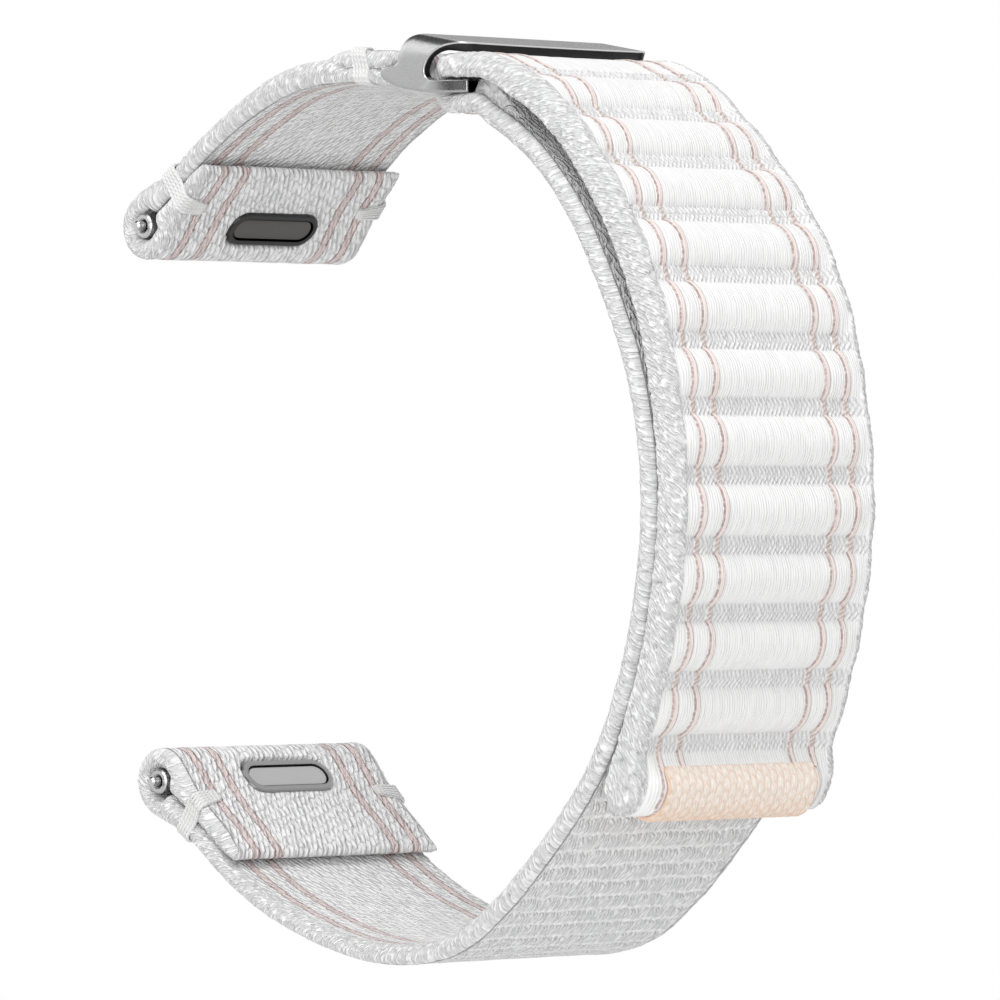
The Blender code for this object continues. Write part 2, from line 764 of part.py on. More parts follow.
def mouth_outline():
    """The C-shaped mouth that the tail passes through, open towards +X."""
    low = FRONT_BAR_HEIGHT / 2
    shares = (
        (-0.22, 0.10), (-0.31, 0.125), (-0.385, 0.20), (-0.40, 0.30), (-0.375, 0.45), (-0.32, 0.57),
        (-0.24, 0.65), (-0.15, 0.69), (-0.05, 0.69),
    )
    points = [(PLATE_REACH + CUT_OVERRUN, low)]
    points += [(PLATE_BACK * x, PLATE_RISE * z) for x, z in shares]
    points.append((PLATE_REACH + CUT_OVERRUN, PLATE_RISE * MOUTH_TOP_SHARE))
    return points


def across(point):
    """Matrix that stands an XY outline in the loop's plane, with its depth along Y."""
    return Matrix.Translation(point - ORIGIN) @ Matrix.Rotation(math.pi / 2, 4, "X")


def buckle_frame(material):
    half = BUCKLE_INNER_LENGTH / 2
    far = BUCKLE_LENGTH
    frame = extruded("buckle_frame", buckle_outline(), BUCKLE_LENGTH, across(FRONT_BAR), BUCKLE_EDGE_ROUND)
    mouth = extruded("mouth_cut", mouth_outline(), BUCKLE_LENGTH + CUT_OVERRUN, across(FRONT_BAR))
    boolean(frame, mouth)
    under = Vector((-far, -half, -far)) + FRONT_BAR
    back = Vector((-SLOT_BACK, half, TOP_BAR_UNDER)) + FRONT_BAR
    boolean(frame, box("fold_room", under, back))
    rear = Vector((-TOP_BAR_BACK, half, far)) + FRONT_BAR
    boolean(frame, box("rear_room", under, rear))
    below = Vector((far, half, -FRONT_BAR_HEIGHT / 2)) + FRONT_BAR
    boolean(frame, box("run_room", under, below))
    bar = turned("rear_bar", [(0.0, half + CUT_OVERRUN / 2), (REAR_BAR_RADIUS, half + CUT_OVERRUN / 2),
                              (REAR_BAR_RADIUS, -half - CUT_OVERRUN / 2), (0.0, -half - CUT_OVERRUN / 2)],
                 across(REAR_BAR), REAR_BAR_STEPS)
    boolean(frame, bar, "UNION")
    return paint(frame, material)


# Spring bars and release buttons

Lug = namedtuple("Lug", "name bar inward along")


def lug_frame(name, bar, bar_angle, turn):
    along = outward(bar_angle + turn * QUARTER_TURN)
    return Lug(name, bar, -outward(bar_angle), along)


def lug_matrix(lug, along, inward):
    """Local X across the strap, Y along it away from the bar, Z towards the wrist."""
    across_strap = lug.along.cross(lug.inward)
    place = lug.bar + lug.along * along + lug.inward * inward - ORIGIN
    matrix = Matrix((across_strap, lug.along, lug.inward)).transposed().to_4x4()
    matrix.translation = place
    return matrix


def stadium(length, width, steps=8):
    """Outline with straight sides and full round ends."""
    radius = width / 2
    reach = length / 2 - radius
    points = []
    for centre, start in ((reach, -QUARTER_TURN), (-reach, QUARTER_TURN)):
        for k in range(steps + 1):
            angle = math.radians(start + HALF_TURN * k / steps)
            points.append((centre + radius * math.cos(angle), radius * math.sin(angle)))
    return points


def flap_surface(radius_at, bar_angle, turn):
    """Height of the flap's wrist side above the bar's axis, at the button."""
    wrap = lug_wrap_radius()
    flap_step = RIBBON_THICKNESS + FOLDED_GAP
    bar_radius = radius_at(bar_angle) - LUG_SETBACK
    angle = bar_angle + turn * math.degrees(BUTTON_ALONG / bar_radius)
    drop = flap_step + (wrap + LUG_SETBACK - flap_step) * lug_settle(BUTTON_ALONG)
    centre = polar(radius_at(angle) - drop, angle)
    bar = polar(bar_radius, bar_angle)
    return (centre - bar).dot(-outward(bar_angle)) + RIBBON_THICKNESS / 2


def bar_tube(lug, material):
    half = LUG_WIDTH / 2
    edge = TUBE_LIP_ROUND
    side = [(TUBE_MOUTH_RADIUS, half - TUBE_LIP_LENGTH), (TUBE_MOUTH_RADIUS, half - edge),
            (TUBE_MOUTH_RADIUS + edge, half), (TUBE_RADIUS - edge, half), (TUBE_RADIUS, half - edge)]
    profile = [(TUBE_BORE_RADIUS, half - TUBE_LIP_LENGTH)] + side
    profile += [(r, -z) for r, z in reversed(profile)]
    return paint(turned(lug.name + "_bar_tube", profile, across(lug.bar), TUBE_STEPS), material)


def pin_profile():
    """From the tip, outside the tube, to the spring's seat inside it."""
    half = LUG_WIDTH / 2
    tip = half + PIN_PROTRUSION
    shoulder = half - TUBE_LIP_LENGTH - PIN_SHOULDER_GAP
    seat = shoulder - PIN_SHANK_LENGTH
    return [(0.0, tip), (PIN_TIP_RADIUS - PIN_END_ROUND, tip), (PIN_TIP_RADIUS, tip - PIN_END_ROUND),
            (PIN_TIP_RADIUS, shoulder), (PIN_SHANK_RADIUS, shoulder), (PIN_SHANK_RADIUS, seat), (0.0, seat)]


def spring_pin(lug, side, material):
    """side is +1 for the pin at -Y, the near one, and -1 for the far one."""
    matrix = across(lug.bar)
    if side < 0:
        matrix = matrix @ Matrix.Rotation(math.pi, 4, "X")
    name = lug.name + ("_pin_near" if side > 0 else "_pin_far")
    return paint(turned(name, pin_profile(), matrix, PIN_STEPS), material)


def pin_spring(lug, material):
    """Coil that pushes the two pins apart."""
    seat = LUG_WIDTH / 2 - TUBE_LIP_LENGTH - PIN_SHOULDER_GAP - PIN_SHANK_LENGTH
    half = seat - SPRING_END_GAP - SPRING_WIRE_RADIUS
    curve = bpy.data.curves.new(lug.name + "_pin_spring", "CURVE")
    curve.dimensions = "3D"
    curve.bevel_depth = SPRING_WIRE_RADIUS
    curve.bevel_resolution = 1
    curve.use_fill_caps = True
    spline = curve.splines.new("POLY")
    count = SPRING_TURNS * SPRING_STEPS
    spline.points.add(count)
    for k, place in enumerate(spline.points):
        angle = math.tau * k / SPRING_STEPS
        place.co = (SPRING_COIL_RADIUS * math.cos(angle), -half + 2 * half * k / count,
                    SPRING_COIL_RADIUS * math.sin(angle), 1.0)
    coil = add_object(curve.name, curve)
    coil.matrix_world = Matrix.Translation(lug.bar - ORIGIN)
    bpy.context.view_layer.update()
    least = 2 * half / SPRING_TURNS - 2 * SPRING_WIRE_RADIUS
    print(f"{curve.name}: least gap between turns {least / MM:.2f} mm")
    return paint(as_mesh(coil), material)


def release_case(lug, surface, material):
    """Bezel with a well for the button, on a body that seats against the bar tube."""
    top = surface + BEZEL_RISE
    name = lug.name + "_release_case"
    case = extruded(name, stadium(BEZEL_LENGTH, BEZEL_WIDTH), BEZEL_DEPTH,
                    lug_matrix(lug, BUTTON_ALONG, top - BEZEL_DEPTH / 2), BEZEL_CHAMFER)
    well = extruded(name + "_well", stadium(BEZEL_LENGTH - 2 * BEZEL_RIM, BEZEL_WIDTH - 2 * BEZEL_RIM),
                    2 * WELL_DEPTH, lug_matrix(lug, BUTTON_ALONG, top))
    foot_top = top - BEZEL_DEPTH + BEZEL_CHAMFER
    outline = [(CASE_LENGTH / 2 * sx, CASE_WIDTH / 2 * sy) for sx, sy in ((-1, -1), (1, -1), (1, 1), (-1, 1))]
    foot = extruded(name + "_foot", outline, CASE_HEIGHT,
                    lug_matrix(lug, BUTTON_ALONG + (BEZEL_WIDTH - CASE_WIDTH) / 2 - BEZEL_CHAMFER,
                               foot_top - CASE_HEIGHT / 2))
    seat = turned(name + "_seat", [(0.0, LUG_WIDTH / 2), (TUBE_RADIUS + CASE_SEAT_GAP, LUG_WIDTH / 2),
                                   (TUBE_RADIUS + CASE_SEAT_GAP, -LUG_WIDTH / 2), (0.0, -LUG_WIDTH / 2)],
                  across(lug.bar), ROUND_STEPS)
    boolean(case, foot, "UNION")
    boolean(case, well)
    boolean(case, seat)
    return paint(case, material)


def button(lug, surface, material):
    top = surface + BEZEL_RISE - BUTTON_SINK
    inset = 2 * (BEZEL_RIM + BUTTON_GAP)
    key = extruded(lug.name + "_button", stadium(BEZEL_LENGTH - inset, BEZEL_WIDTH - inset), BUTTON_HEIGHT,
                   lug_matrix(lug, BUTTON_ALONG, top - BUTTON_HEIGHT / 2), BEZEL_CHAMFER / 2)
    return paint(key, material)


def bezel_window(lug, surface):
    """Cutter that opens the flap for the bezel, down to the level of the bar's axis."""
    depth = surface + CUT_OVERRUN
    gap = 2 * TUBE_FOLD_GAP
    return extruded(lug.name + "_window", stadium(BEZEL_LENGTH + gap, BEZEL_WIDTH + gap), depth,
                    lug_matrix(lug, BUTTON_ALONG, depth / 2))


# Whip stitches

def tack_line(near, middle, normal, half_thickness, y_edge, lift):
    """One line along the stitches, from one face, round the strap's edge, to the other."""
    face = half_thickness + TACK_GAP + lift
    edge = y_edge + TACK_GAP + lift
    corner = SELVEDGE_ROUND + TACK_GAP + lift
    line = [(y_edge - TACK_REACH, face), (y_edge - TACK_REACH / 2, face)]
    for angle in TACK_TURN_ANGLES:
        reach = math.radians(angle)
        line.append((edge - corner + corner * math.sin(reach), face - corner + corner * math.cos(reach)))
    line += [(y, -n) for y, n in reversed(line)]
    side = -1 if near else 1
    return [middle + Vector((0.0, side * y, 0.0)) + normal * n for y, n in line]


def tack_section():
    """Side by side threads as (distance along the strap, height)."""
    section = [(0.0, 0.0)]
    for k in range(TACK_THREADS):
        start = THREAD_WIDTH * k
        section += [(start + THREAD_WIDTH * across_share, TACK_HEIGHT * high_share)
                    for across_share, high_share in THREAD_SHARES]
    return section + [(THREAD_WIDTH * TACK_THREADS, 0.0)]


def edge_tack(name, near, first, layers_at, material):
    """Bundle of threads that pinches two layers together at one edge.

    layers_at gives the angle, the middle radius and the half thickness at a distance.
    """
    lines = []
    for along, lift in tack_section():
        angle, radius, thick = layers_at(first + along)
        lines.append(tack_line(near, polar(radius, angle), outward(angle), thick, half_width(angle), lift))
    return paint(loft(name, list(zip(*lines))), material)


def lug_tack_layers(lug, radius_at, bar_angle, turn):
    flap_step = RIBBON_THICKNESS + FOLDED_GAP
    wrap = lug_wrap_radius()

    def layers_at(distance):
        angle = bar_angle + turn * math.degrees(distance / lug.bar.length)
        settle = lug_settle(distance)
        top = radius_at(angle) + (wrap - LUG_SETBACK) * settle + RIBBON_THICKNESS / 2
        drop = flap_step + (wrap + LUG_SETBACK - flap_step) * settle
        low = radius_at(angle) - drop - RIBBON_THICKNESS / 2
        return angle, (top + low) / 2, (top - low) / 2

    return layers_at


def buckle_tack_layers(distance):
    _, _, bar_angle = short_fold()
    angle = bar_angle + math.degrees(distance / REAR_BAR.length)
    return angle, short_middle(angle), short_offset(distance) + FOLD_THICKNESS / 2


def edge_tacks(name, first, layers_at, material):
    return [edge_tack(f"{name}_tack_{side}", side == "near", first, layers_at, material)
            for side in ("near", "far")]


# Assembly

def build_lug(lug, radius_at, bar_angle, turn, strap, parent, metal, bright, wire, thread):
    """Everything at one lug end. The button and the pins have their origins on their own axes."""
    surface = flap_surface(radius_at, bar_angle, turn)
    boolean(strap, bezel_window(lug, surface))
    pieces = [bar_tube(lug, metal), release_case(lug, surface, metal), pin_spring(lug, wire)]
    pieces += edge_tacks(lug.name, TACK_ALONG, lug_tack_layers(lug, radius_at, bar_angle, turn), thread)
    pieces.append(button(lug, surface, bright))
    pieces += [spring_pin(lug, side, bright) for side in (1, -1)]
    carry(pieces, parent)


def build_tail(fabric, tape, hooks):
    """The ribbed tail peels off at its start, and its end also lifts on its own."""
    gap = HINGE_GAP / 2
    split = TAIL_SPLIT_RIB * RIB_LENGTH
    peel = joint_empty("tail_peel_axis", tail_point(TAIL_START_ANGLE, TAIL_EDGE_HEIGHT))
    lift = joint_empty("tail_lift_axis", tail_point(tail_angle(split), TAIL_EDGE_HEIGHT), peel)
    first = tail_piece("padded_tail", gap, split - gap, fabric)
    last = tail_piece("tail_end", split + gap, TAIL_LENGTH, fabric)
    boolean(last, end_seat())
    carry([first], peel)
    carry([last, end_tab(tape), hook_patch(hooks)], lift)


def build():
    fabric = principled("woven_white", (0.86, 0.85, 0.84), 0.85)
    tape = principled("woven_peach", (0.93, 0.72, 0.55), 0.8)
    hooks = principled("hook_white", (0.9, 0.9, 0.9), 0.5)
    thread = principled("white_thread", (0.9, 0.9, 0.9), 0.7)
    metal = principled("brushed_gunmetal", (0.33, 0.33, 0.33), 0.35, 1.0)
    bright = principled("polished_steel", (0.62, 0.62, 0.62), 0.25, 1.0)
    wire = principled("spring_wire", (0.5, 0.5, 0.5), 0.3, 1.0)

    rear = joint_empty("short_strap_axis", REAR_BAR)
    long_part = long_strap(fabric)
    short_part = short_strap(fabric)
    buckle_frame(metal)
    carry([short_part], rear)
    carry(edge_tacks("buckle", BUCKLE_TACK_ALONG, buckle_tack_layers, thread), rear)
    lower = lug_frame("lower", LOWER_BAR, LOWER_LUG_ANGLE, 1)
    upper = lug_frame("upper", UPPER_BAR, UPPER_LUG_ANGLE, -1)
    build_lug(lower, long_radius, LOWER_LUG_ANGLE, 1, long_part, None, metal, bright, wire, thread)
    build_lug(upper, short_radius, UPPER_LUG_ANGLE, -1, short_part, rear, metal, bright, wire, thread)
    build_tail(fabric, tape, hooks)


build()
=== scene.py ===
"""Looks of a hook and loop watch strap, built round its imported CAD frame.

Lengths here are in millimetres, in the loop's own frame: X and Z in the loop's plane with its
centre at zero, and Y across the strap. A mesh turns to metres in the row frame when it is made.
"""

import math

import bpy
import numpy as np
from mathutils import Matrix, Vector


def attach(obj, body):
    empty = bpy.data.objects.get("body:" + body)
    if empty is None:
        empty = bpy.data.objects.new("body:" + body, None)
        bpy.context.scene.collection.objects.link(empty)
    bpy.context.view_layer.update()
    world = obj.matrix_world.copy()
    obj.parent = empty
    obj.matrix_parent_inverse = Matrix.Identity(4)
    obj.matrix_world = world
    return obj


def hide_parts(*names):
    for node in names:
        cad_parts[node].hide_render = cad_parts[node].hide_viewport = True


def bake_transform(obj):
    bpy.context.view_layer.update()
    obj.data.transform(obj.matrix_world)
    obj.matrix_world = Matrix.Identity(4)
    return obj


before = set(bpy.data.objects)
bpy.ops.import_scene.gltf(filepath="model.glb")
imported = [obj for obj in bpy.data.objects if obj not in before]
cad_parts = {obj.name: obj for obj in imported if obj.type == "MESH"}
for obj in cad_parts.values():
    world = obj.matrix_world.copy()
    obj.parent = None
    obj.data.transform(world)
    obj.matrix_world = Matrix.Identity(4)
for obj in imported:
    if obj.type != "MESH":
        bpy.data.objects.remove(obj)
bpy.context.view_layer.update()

MM = 0.001

# The loop, as in the CAD source
LOOP_RADIUS = 34.35
LUG_WIDTH = 22.0
RIBBON = 1.5
FOLDED = 1.15
LAYER_GAP = 0.3
FOLDED_GAP = 0.1
LOWER_LUG_ANGLE = -138.7
UPPER_LUG_ANGLE = 140.3
RUN_END_ANGLE = 70.0
TAIL_START_ANGLE = 67.0
LONG_RADIUS_SHARES = (
    (-139, 0.958), (-128, 0.956), (-118, 0.9665), (-104, 0.977), (-90, 0.994), (-77, 0.989),
    (-67, 0.9455), (-58, 0.9065), (-50, 0.8835), (-39, 0.861), (-26, 0.8315), (-12, 0.8135),
    (0, 0.8125), (12, 0.8145), (23, 0.8215), (34, 0.832), (49, 0.863), (60, 0.8865), (72, 0.910),
)
SHORT_RADIUS_SHARES = (
    (78, 0.955), (86, 0.963), (92, 0.972), (98, 0.987), (106, 1.0), (120, 1.0015), (141, 1.0),
)
TAIL_LIFT_SHARES = (
    (-44, 0.0260), (-38, 0.0095), (-33, 0.0040), (-26, 0.0025), (-12, 0.003), (0, 0.004),
    (12, 0.0085), (20, 0.0145), (28, 0.0275), (36, 0.0350), (50, 0.0365), (60, 0.0437), (68, 0.046),
)
NARROW_SHARES = (
    (-139, 0.0), (-57, 0.128), (34, 0.147), (50, 0.55), (64, 1.0), (96, 1.0), (141, 0.0),
)
NARROW = 1.2
UPPER_FLAP = 8.1
LOWER_FLAP = 10.7
SETTLE = 5.2
SETBACK = 0.2
TUBE_RADIUS = 0.97
TUBE_GAP = 0.13
BUTTON_ALONG = 1.95
BEZEL_LENGTH = 9.4
BEZEL_WIDTH = 3.1
FRONT_BAR_WIDTH = 3.0
FRONT_BAR_HEIGHT = 0.8
REAR_BAR_RADIUS = 0.55
BAR_FOLD_GAP = 0.25
BUCKLE_LENGTH = 21.6
BUCKLE_FLAP = 8.3
RIBS = 11
RIB_LENGTH = 4.9
FOLD_THIN = 0.72
FOLD_CLEAR = 0.05
CREST = 2.6
FLOOR = 1.75
EDGE = 2.3
END_LENGTH = 5.5
END_HEIGHT = 4.1
TAIL_LENGTH = RIBS * RIB_LENGTH + END_LENGTH
TAIL_SPLIT = 7 * RIB_LENGTH
TAB_WIDTH = 16.6
TAB_THICKNESS = 0.55
TAB_SINK = 0.1
TAB_BACK = 3.2
TAB_GAP = 0.15
PATCH_LENGTH = 17.0
PATCH_THICKNESS = 0.7
TACK_ALONG = 3.6
BUCKLE_TACK_ALONG = 4.4
TACK_REACH = 2.6
THREAD_RADIUS = 0.17

# Ribbons: sides of a section in order, loops of the selvedges, and the thinned end of a flap
TOP, RIGHT, UNDER, LEFT = range(4)
EDGE_RELIEF = 0.17
EDGE_LOOP = 0.52
FLAP_TIP = 0.8
RIDGE = 1.15

# Tail: heights on the way through the buckle, lobes at the end, and where its cloth is cut in two
LEAD_HEIGHTS = ((-11.0, 1.35), (-8.8, 1.38), (-7.8, 1.5), (-6.8, 1.65), (-4.8, 1.72),
                (-2.4, 1.8), (-0.7, 1.85))
LEAD_EDGES = ((-11.0, 1.35), (-8.8, 1.38), (-7.8, 1.5), (-6.8, 1.65), (-4.8, 1.72),
              (-2.4, 1.95), (0.5, 2.3))
LOBE_HEIGHT = 3.2
LOBE_RISE = 0.55 * END_LENGTH
END_RADIUS = END_HEIGHT / 2
END_QUARTER = END_RADIUS * math.pi / 2
MOUTH_BULGE = 0.9
CORNER_LOW = 0.45
TAIL_CUT = 3 * RIB_LENGTH
TAIL_RELIEF = 0.2
SELVEDGE_LOOP = 0.56

# Tail: sewn channels and striped cords
RIB_RISE = 0.26
CHANNEL_HALF = 0.50
CHANNEL_SOFT = 0.32
STITCH_PITCH = 0.44
STITCH_SPAN = 0.95
STITCH_OFF = 0.36
STITCH_HEIGHT = 0.17
TWIST_PITCH = 0.55
STRIPES_TAIL = (8.47, 6.13)
STRIPES_RUN = (8.8, 6.4)
PAST_STRIPES = 9.6
CORD_HALF = 0.36
CORD_HEIGHT = 0.10
GROOVE_OFF = 0.40
GROOVE = 0.08

# Tab and hook tape
TAB_FRONT = 4.55
TAB_PROUD = 0.6
TAB_START = TAIL_LENGTH + TAB_PROUD - TAB_FRONT
PATCH_START = TAIL_LENGTH + TAB_PROUD - TAB_BACK - PATCH_LENGTH
TAPE_POINTS = 60
TAB_COLUMN = 0.74
TAB_ROW = 0.86
DASH_HEIGHT = 0.08
HOOK_PITCH = 0.85
HOOK_RADIUS = 0.055
HOOK_SHAPE = ((-0.06, 0.0), (-0.04, 0.16), (0.0, 0.27), (0.1, 0.33), (0.19, 0.28), (0.2, 0.2))

# Buckle band, from the end of the near arm up to the top bar, about the front bar's centre. A
# station has the points on its outer edge and at the mouth, its outward normal and thickness. The
# plate's stations are upright and level, so they have only the x and z of the two points.
PLATE_Y = -10.8
BAND = 0.75
ARM_STATIONS = (
    ((0.75, -9.82, -0.60), (0.75, -9.82, 0.40), (0.56, -0.83, 0.0), 0.36),
    ((-0.8, -10.5, -0.59), (-0.8, -10.5, 0.40), (0.38, -0.92, 0.0), 0.65),
)
PLATE_STATIONS = (
    (-2.3, -0.53, -1.9, 0.41), (-3.8, -0.38, -2.5, 0.52), (-5.4, -0.09, -2.8, 0.70),
    (-6.9, 0.40, -2.93, 0.88), (-7.6, 0.80, -2.98, 1.0), (-7.75, 1.15, -3.0, 1.15),
    (-7.68, 1.48, -2.98, 1.3), (-7.1, 1.58, -2.93, 1.45), (-6.35, 1.64, -2.85, 1.62),
    (-6.0, 1.85, -2.75, 1.82), (-5.82, 2.35, -2.55, 2.08),
)
SHOULDER_STATIONS = (
    ((-5.55, -10.76, 2.95), (-2.27, -10.8, 2.33), (0.0, -1.0, 0.08), 0.75),
    ((-5.2, -10.66, 3.45), (-1.8, -10.74, 2.68), (0.0, -0.96, 0.26), 0.75),
    ((-4.8, -10.48, 3.80), (-1.1, -10.62, 2.99), (0.03, -0.88, 0.47), 0.78),
    ((-4.42, -10.2, 3.98), (-0.4, -10.42, 3.16), (0.09, -0.67, 0.74), 0.8),
    ((-4.15, -9.8, 4.05), (0.25, -10.1, 3.23), (0.15, -0.38, 0.91), 0.8),
    ((-4.02, -9.25, 4.05), (0.7, -9.55, 3.22), (0.17, -0.1, 0.98), 0.8),
    ((-4.0, -8.5, 4.05), (0.85, -8.7, 3.2), (0.173, 0.0, 0.985), 0.8),
)
BUCKLE_STATIONS = ARM_STATIONS + tuple(
    ((x0, PLATE_Y, z0), (x1, PLATE_Y, z1), (0.0, -1.0, 0.0), BAND)
    for x0, z0, x1, z1 in PLATE_STATIONS) + SHOULDER_STATIONS
# Buckle band materials: the rim is paler, a painted highlight on the mouth's bevel; the inside is
# near black, painted shade on the mouth's walls and the underside
FACE, RIM_HIGHLIGHT, INSIDE_SHADE = range(3)
RIM_BEVEL = 0.13
BACK_BEVEL = 0.2
INNER_BEVEL = 0.1
BAR_BEVEL = 0.15
FRONT_BAR_EDGE = -0.5

# Whip stitches
STITCHES = 5
STITCH_CORNER = 0.42
STITCH_LIFT = THREAD_RADIUS * 0.75
BUCKLE_TACK_REACH = 1.9

# Tones, and the rows of the pile
WHITE = (0.90, 0.90, 0.897)
# Painted shade, mixed into the cloth where its relief is low and along one side of the pile's loops
PAINTED_SHADE = (0.40, 0.40, 0.41)
PILE_ROW = 1.72
PILE_LOOP = 0.68


# Curves in the loop's plane

def ease(x):
    """Smooth step from 0 to 1."""
    x = np.clip(x, 0.0, 1.0)
    return x * x * (3 - 2 * x)


def rounded(reach, least):
    """Rise of a quarter circle as reach goes from 0 to 1, held above the root of least."""
    return np.sqrt(np.clip(1 - (1 - np.clip(reach, 0, 1)) ** 2, least, 1))


def unit(rows):
    return rows / np.linalg.norm(rows, axis=1)[:, None]


def path_length(points):
    """Way along a line, at each of its points."""
    return np.concatenate([[0.0], np.cumsum(np.linalg.norm(np.diff(points, axis=0), axis=1))])


def cubic(t, width, start, slope, finish, last_slope):
    """Value at a share t of an interval, from the values and slopes at its ends."""
    return ((2 * t ** 3 - 3 * t ** 2 + 1) * start + (t ** 3 - 2 * t ** 2 + t) * width * slope
            + (3 * t ** 2 - 2 * t ** 3) * finish + (t ** 3 - t ** 2) * width * last_slope)


def through(table, x):
    """Smooth curve through a table of (x, y), read at x, as in the CAD source."""
    if x <= table[0][0]:
        return table[0][1]
    if x >= table[-1][0]:
        return table[-1][1]
    k = max(i for i in range(len(table) - 1) if table[i][0] <= x)
    (x0, y0), (x1, y1) = table[k], table[k + 1]
    width = x1 - x0
    slope = (y1 - y0) / width
    if k > 0:
        slope = (y1 - table[k - 1][1]) / (x1 - table[k - 1][0])
    after = table[k + 2] if k + 2 < len(table) else (x1 + width, y1 + (y1 - y0))
    last_slope = (after[1] - y0) / (after[0] - x0)
    return cubic((x - x0) / width, width, y0, slope, y1, last_slope)


def smooth(rows, spacing):
    """Smooth curve through rows of numbers, spaced by the path of their first three at most.

    Also gives the places that were read, and those of the rows.
    """
    p = np.array(rows, float)
    h = np.linalg.norm(np.diff(p[:, :3], axis=0), axis=1)
    t = np.concatenate([[0.0], np.cumsum(h)])
    d = np.diff(p, axis=0) / h[:, None]
    middle = (d[:-1] * h[1:, None] + d[1:] * h[:-1, None]) / (h[:-1] + h[1:])[:, None]
    slope = np.vstack([d[:1], middle, d[-1:]])
    x = np.linspace(0, t[-1], int(t[-1] / spacing) + 2)
    k = np.clip(np.searchsorted(t, x, side="right") - 1, 0, len(h) - 1)
    share = ((x - t[k]) / h[k])[:, None]
    return cubic(share, h[k][:, None], p[k], slope[k], p[k + 1], slope[k + 1]), x, t


def refine(points, values, spacing):
    """Line through coarse points at an even spacing, with columns of values along it."""
    q, x, t = smooth(points, 0.04)
    v = np.array(values, float)
    along = path_length(q)
    s = np.linspace(0, along[-1], int(round(along[-1] / spacing)) + 1)
    out = np.column_stack([np.interp(s, along, q[:, i]) for i in range(2)])
    places = np.interp(s, along, x)
    carried = np.column_stack([np.interp(places, t, v[:, i]) for i in range(v.shape[1])])
    way = np.gradient(out, s, axis=0)
    for _ in range(3):
        way[1:-1] = (way[:-2] + 2 * way[1:-1] + way[2:]) / 4
    way = unit(way)
    return s, out, np.column_stack([-way[:, 1], way[:, 0]]), carried


def polar(radius, degrees):
    a = math.radians(degrees)
    return np.array([radius * math.cos(a), radius * math.sin(a)])


def long_radius(angle):
    return LOOP_RADIUS * through(LONG_RADIUS_SHARES, angle)


def short_radius(angle):
    return LOOP_RADIUS * through(SHORT_RADIUS_SHARES, angle)


def tail_radius(angle):
    lift = LOOP_RADIUS * through(TAIL_LIFT_SHARES, angle)
    return long_radius(angle) + RIBBON / 2 + LAYER_GAP + lift


def half_width(angle):
    return LUG_WIDTH / 2 - NARROW * through(NARROW_SHARES, angle)


LOWER_BAR = polar(long_radius(LOWER_LUG_ANGLE) - SETBACK, LOWER_LUG_ANGLE)
UPPER_BAR = polar(short_radius(UPPER_LUG_ANGLE) - SETBACK, UPPER_LUG_ANGLE)
LOWER_LUG = (long_radius, LOWER_BAR, LOWER_LUG_ANGLE, 1)
UPPER_LUG = (short_radius, UPPER_BAR, UPPER_LUG_ANGLE, -1)
FRONT_BAR = polar(LOOP_RADIUS * 0.950, 76.35)
REAR_BAR = FRONT_BAR + np.array([-5.65, 1.3])
REAR_ANGLE = math.degrees(math.atan2(REAR_BAR[1], REAR_BAR[0]))
REAR_DISTANCE = np.linalg.norm(REAR_BAR)
REAR_WRAP = REAR_BAR_RADIUS + FOLD_CLEAR + FOLD_THIN / 2
ORIGIN = np.array([LOWER_BAR[0], 0.0, LOWER_BAR[1]])
WRAP = TUBE_RADIUS + TUBE_GAP + RIBBON / 2
FLAP_STEP = RIBBON + FOLDED_GAP


def to_row(points):
    """Points of the loop's frame in metres in the row frame."""
    return (points - ORIGIN) * MM


def lug_line(lug, flap, last_angle):
    """Centre line from a sewn flap's end, round the bar tube, to last_angle on the strap."""
    radius_at, bar, bar_angle, turn = lug
    per_degree = math.radians(1.0) * np.linalg.norm(bar)
    line = []
    for angle in np.linspace(bar_angle + turn * flap / per_degree, bar_angle, 13)[:-1]:
        settle = 1 - ease(abs(angle - bar_angle) * per_degree / SETTLE)
        drop = FLAP_STEP + (WRAP + SETBACK - FLAP_STEP) * settle
        line.append((polar(radius_at(angle) - drop, angle), angle))
    for angle in np.linspace(bar_angle + 180, bar_angle + 180 + turn * 180, 19):
        line.append((bar + polar(WRAP, angle), bar_angle))
    settled = bar_angle + turn * SETTLE / per_degree
    for angle in np.linspace(bar_angle, settled, 7)[1:]:
        settle = 1 - ease(abs(angle - bar_angle) * per_degree / SETTLE)
        line.append((polar(radius_at(angle) + (WRAP - SETBACK) * settle, angle), angle))
    for angle in np.linspace(settled, last_angle, int(abs(last_angle - settled) / 2.5))[1:]:
        line.append((polar(radius_at(angle), angle), angle))
    return line


# Patterns in the cloth, as heights over a grid of (s, a) in millimetres

def scatter(i, j, seed=0.0):
    """A fixed number from 0 to 1 for each cell."""
    x = np.sin(i * 12.9898 + j * 78.233 + seed * 37.719) * 43758.5453
    return x - np.floor(x)


def lumps(x, y, size, seed):
    """Smooth value noise from 0 to 1."""
    u, v = x / size, y / size
    i, j = np.floor(u), np.floor(v)
    a, b = ease(u - i), ease(v - j)
    low = scatter(i, j, seed) * (1 - a) + scatter(i + 1, j, seed) * a
    high = scatter(i, j + 1, seed) * (1 - a) + scatter(i + 1, j + 1, seed) * a
    return low * (1 - b) + high * b


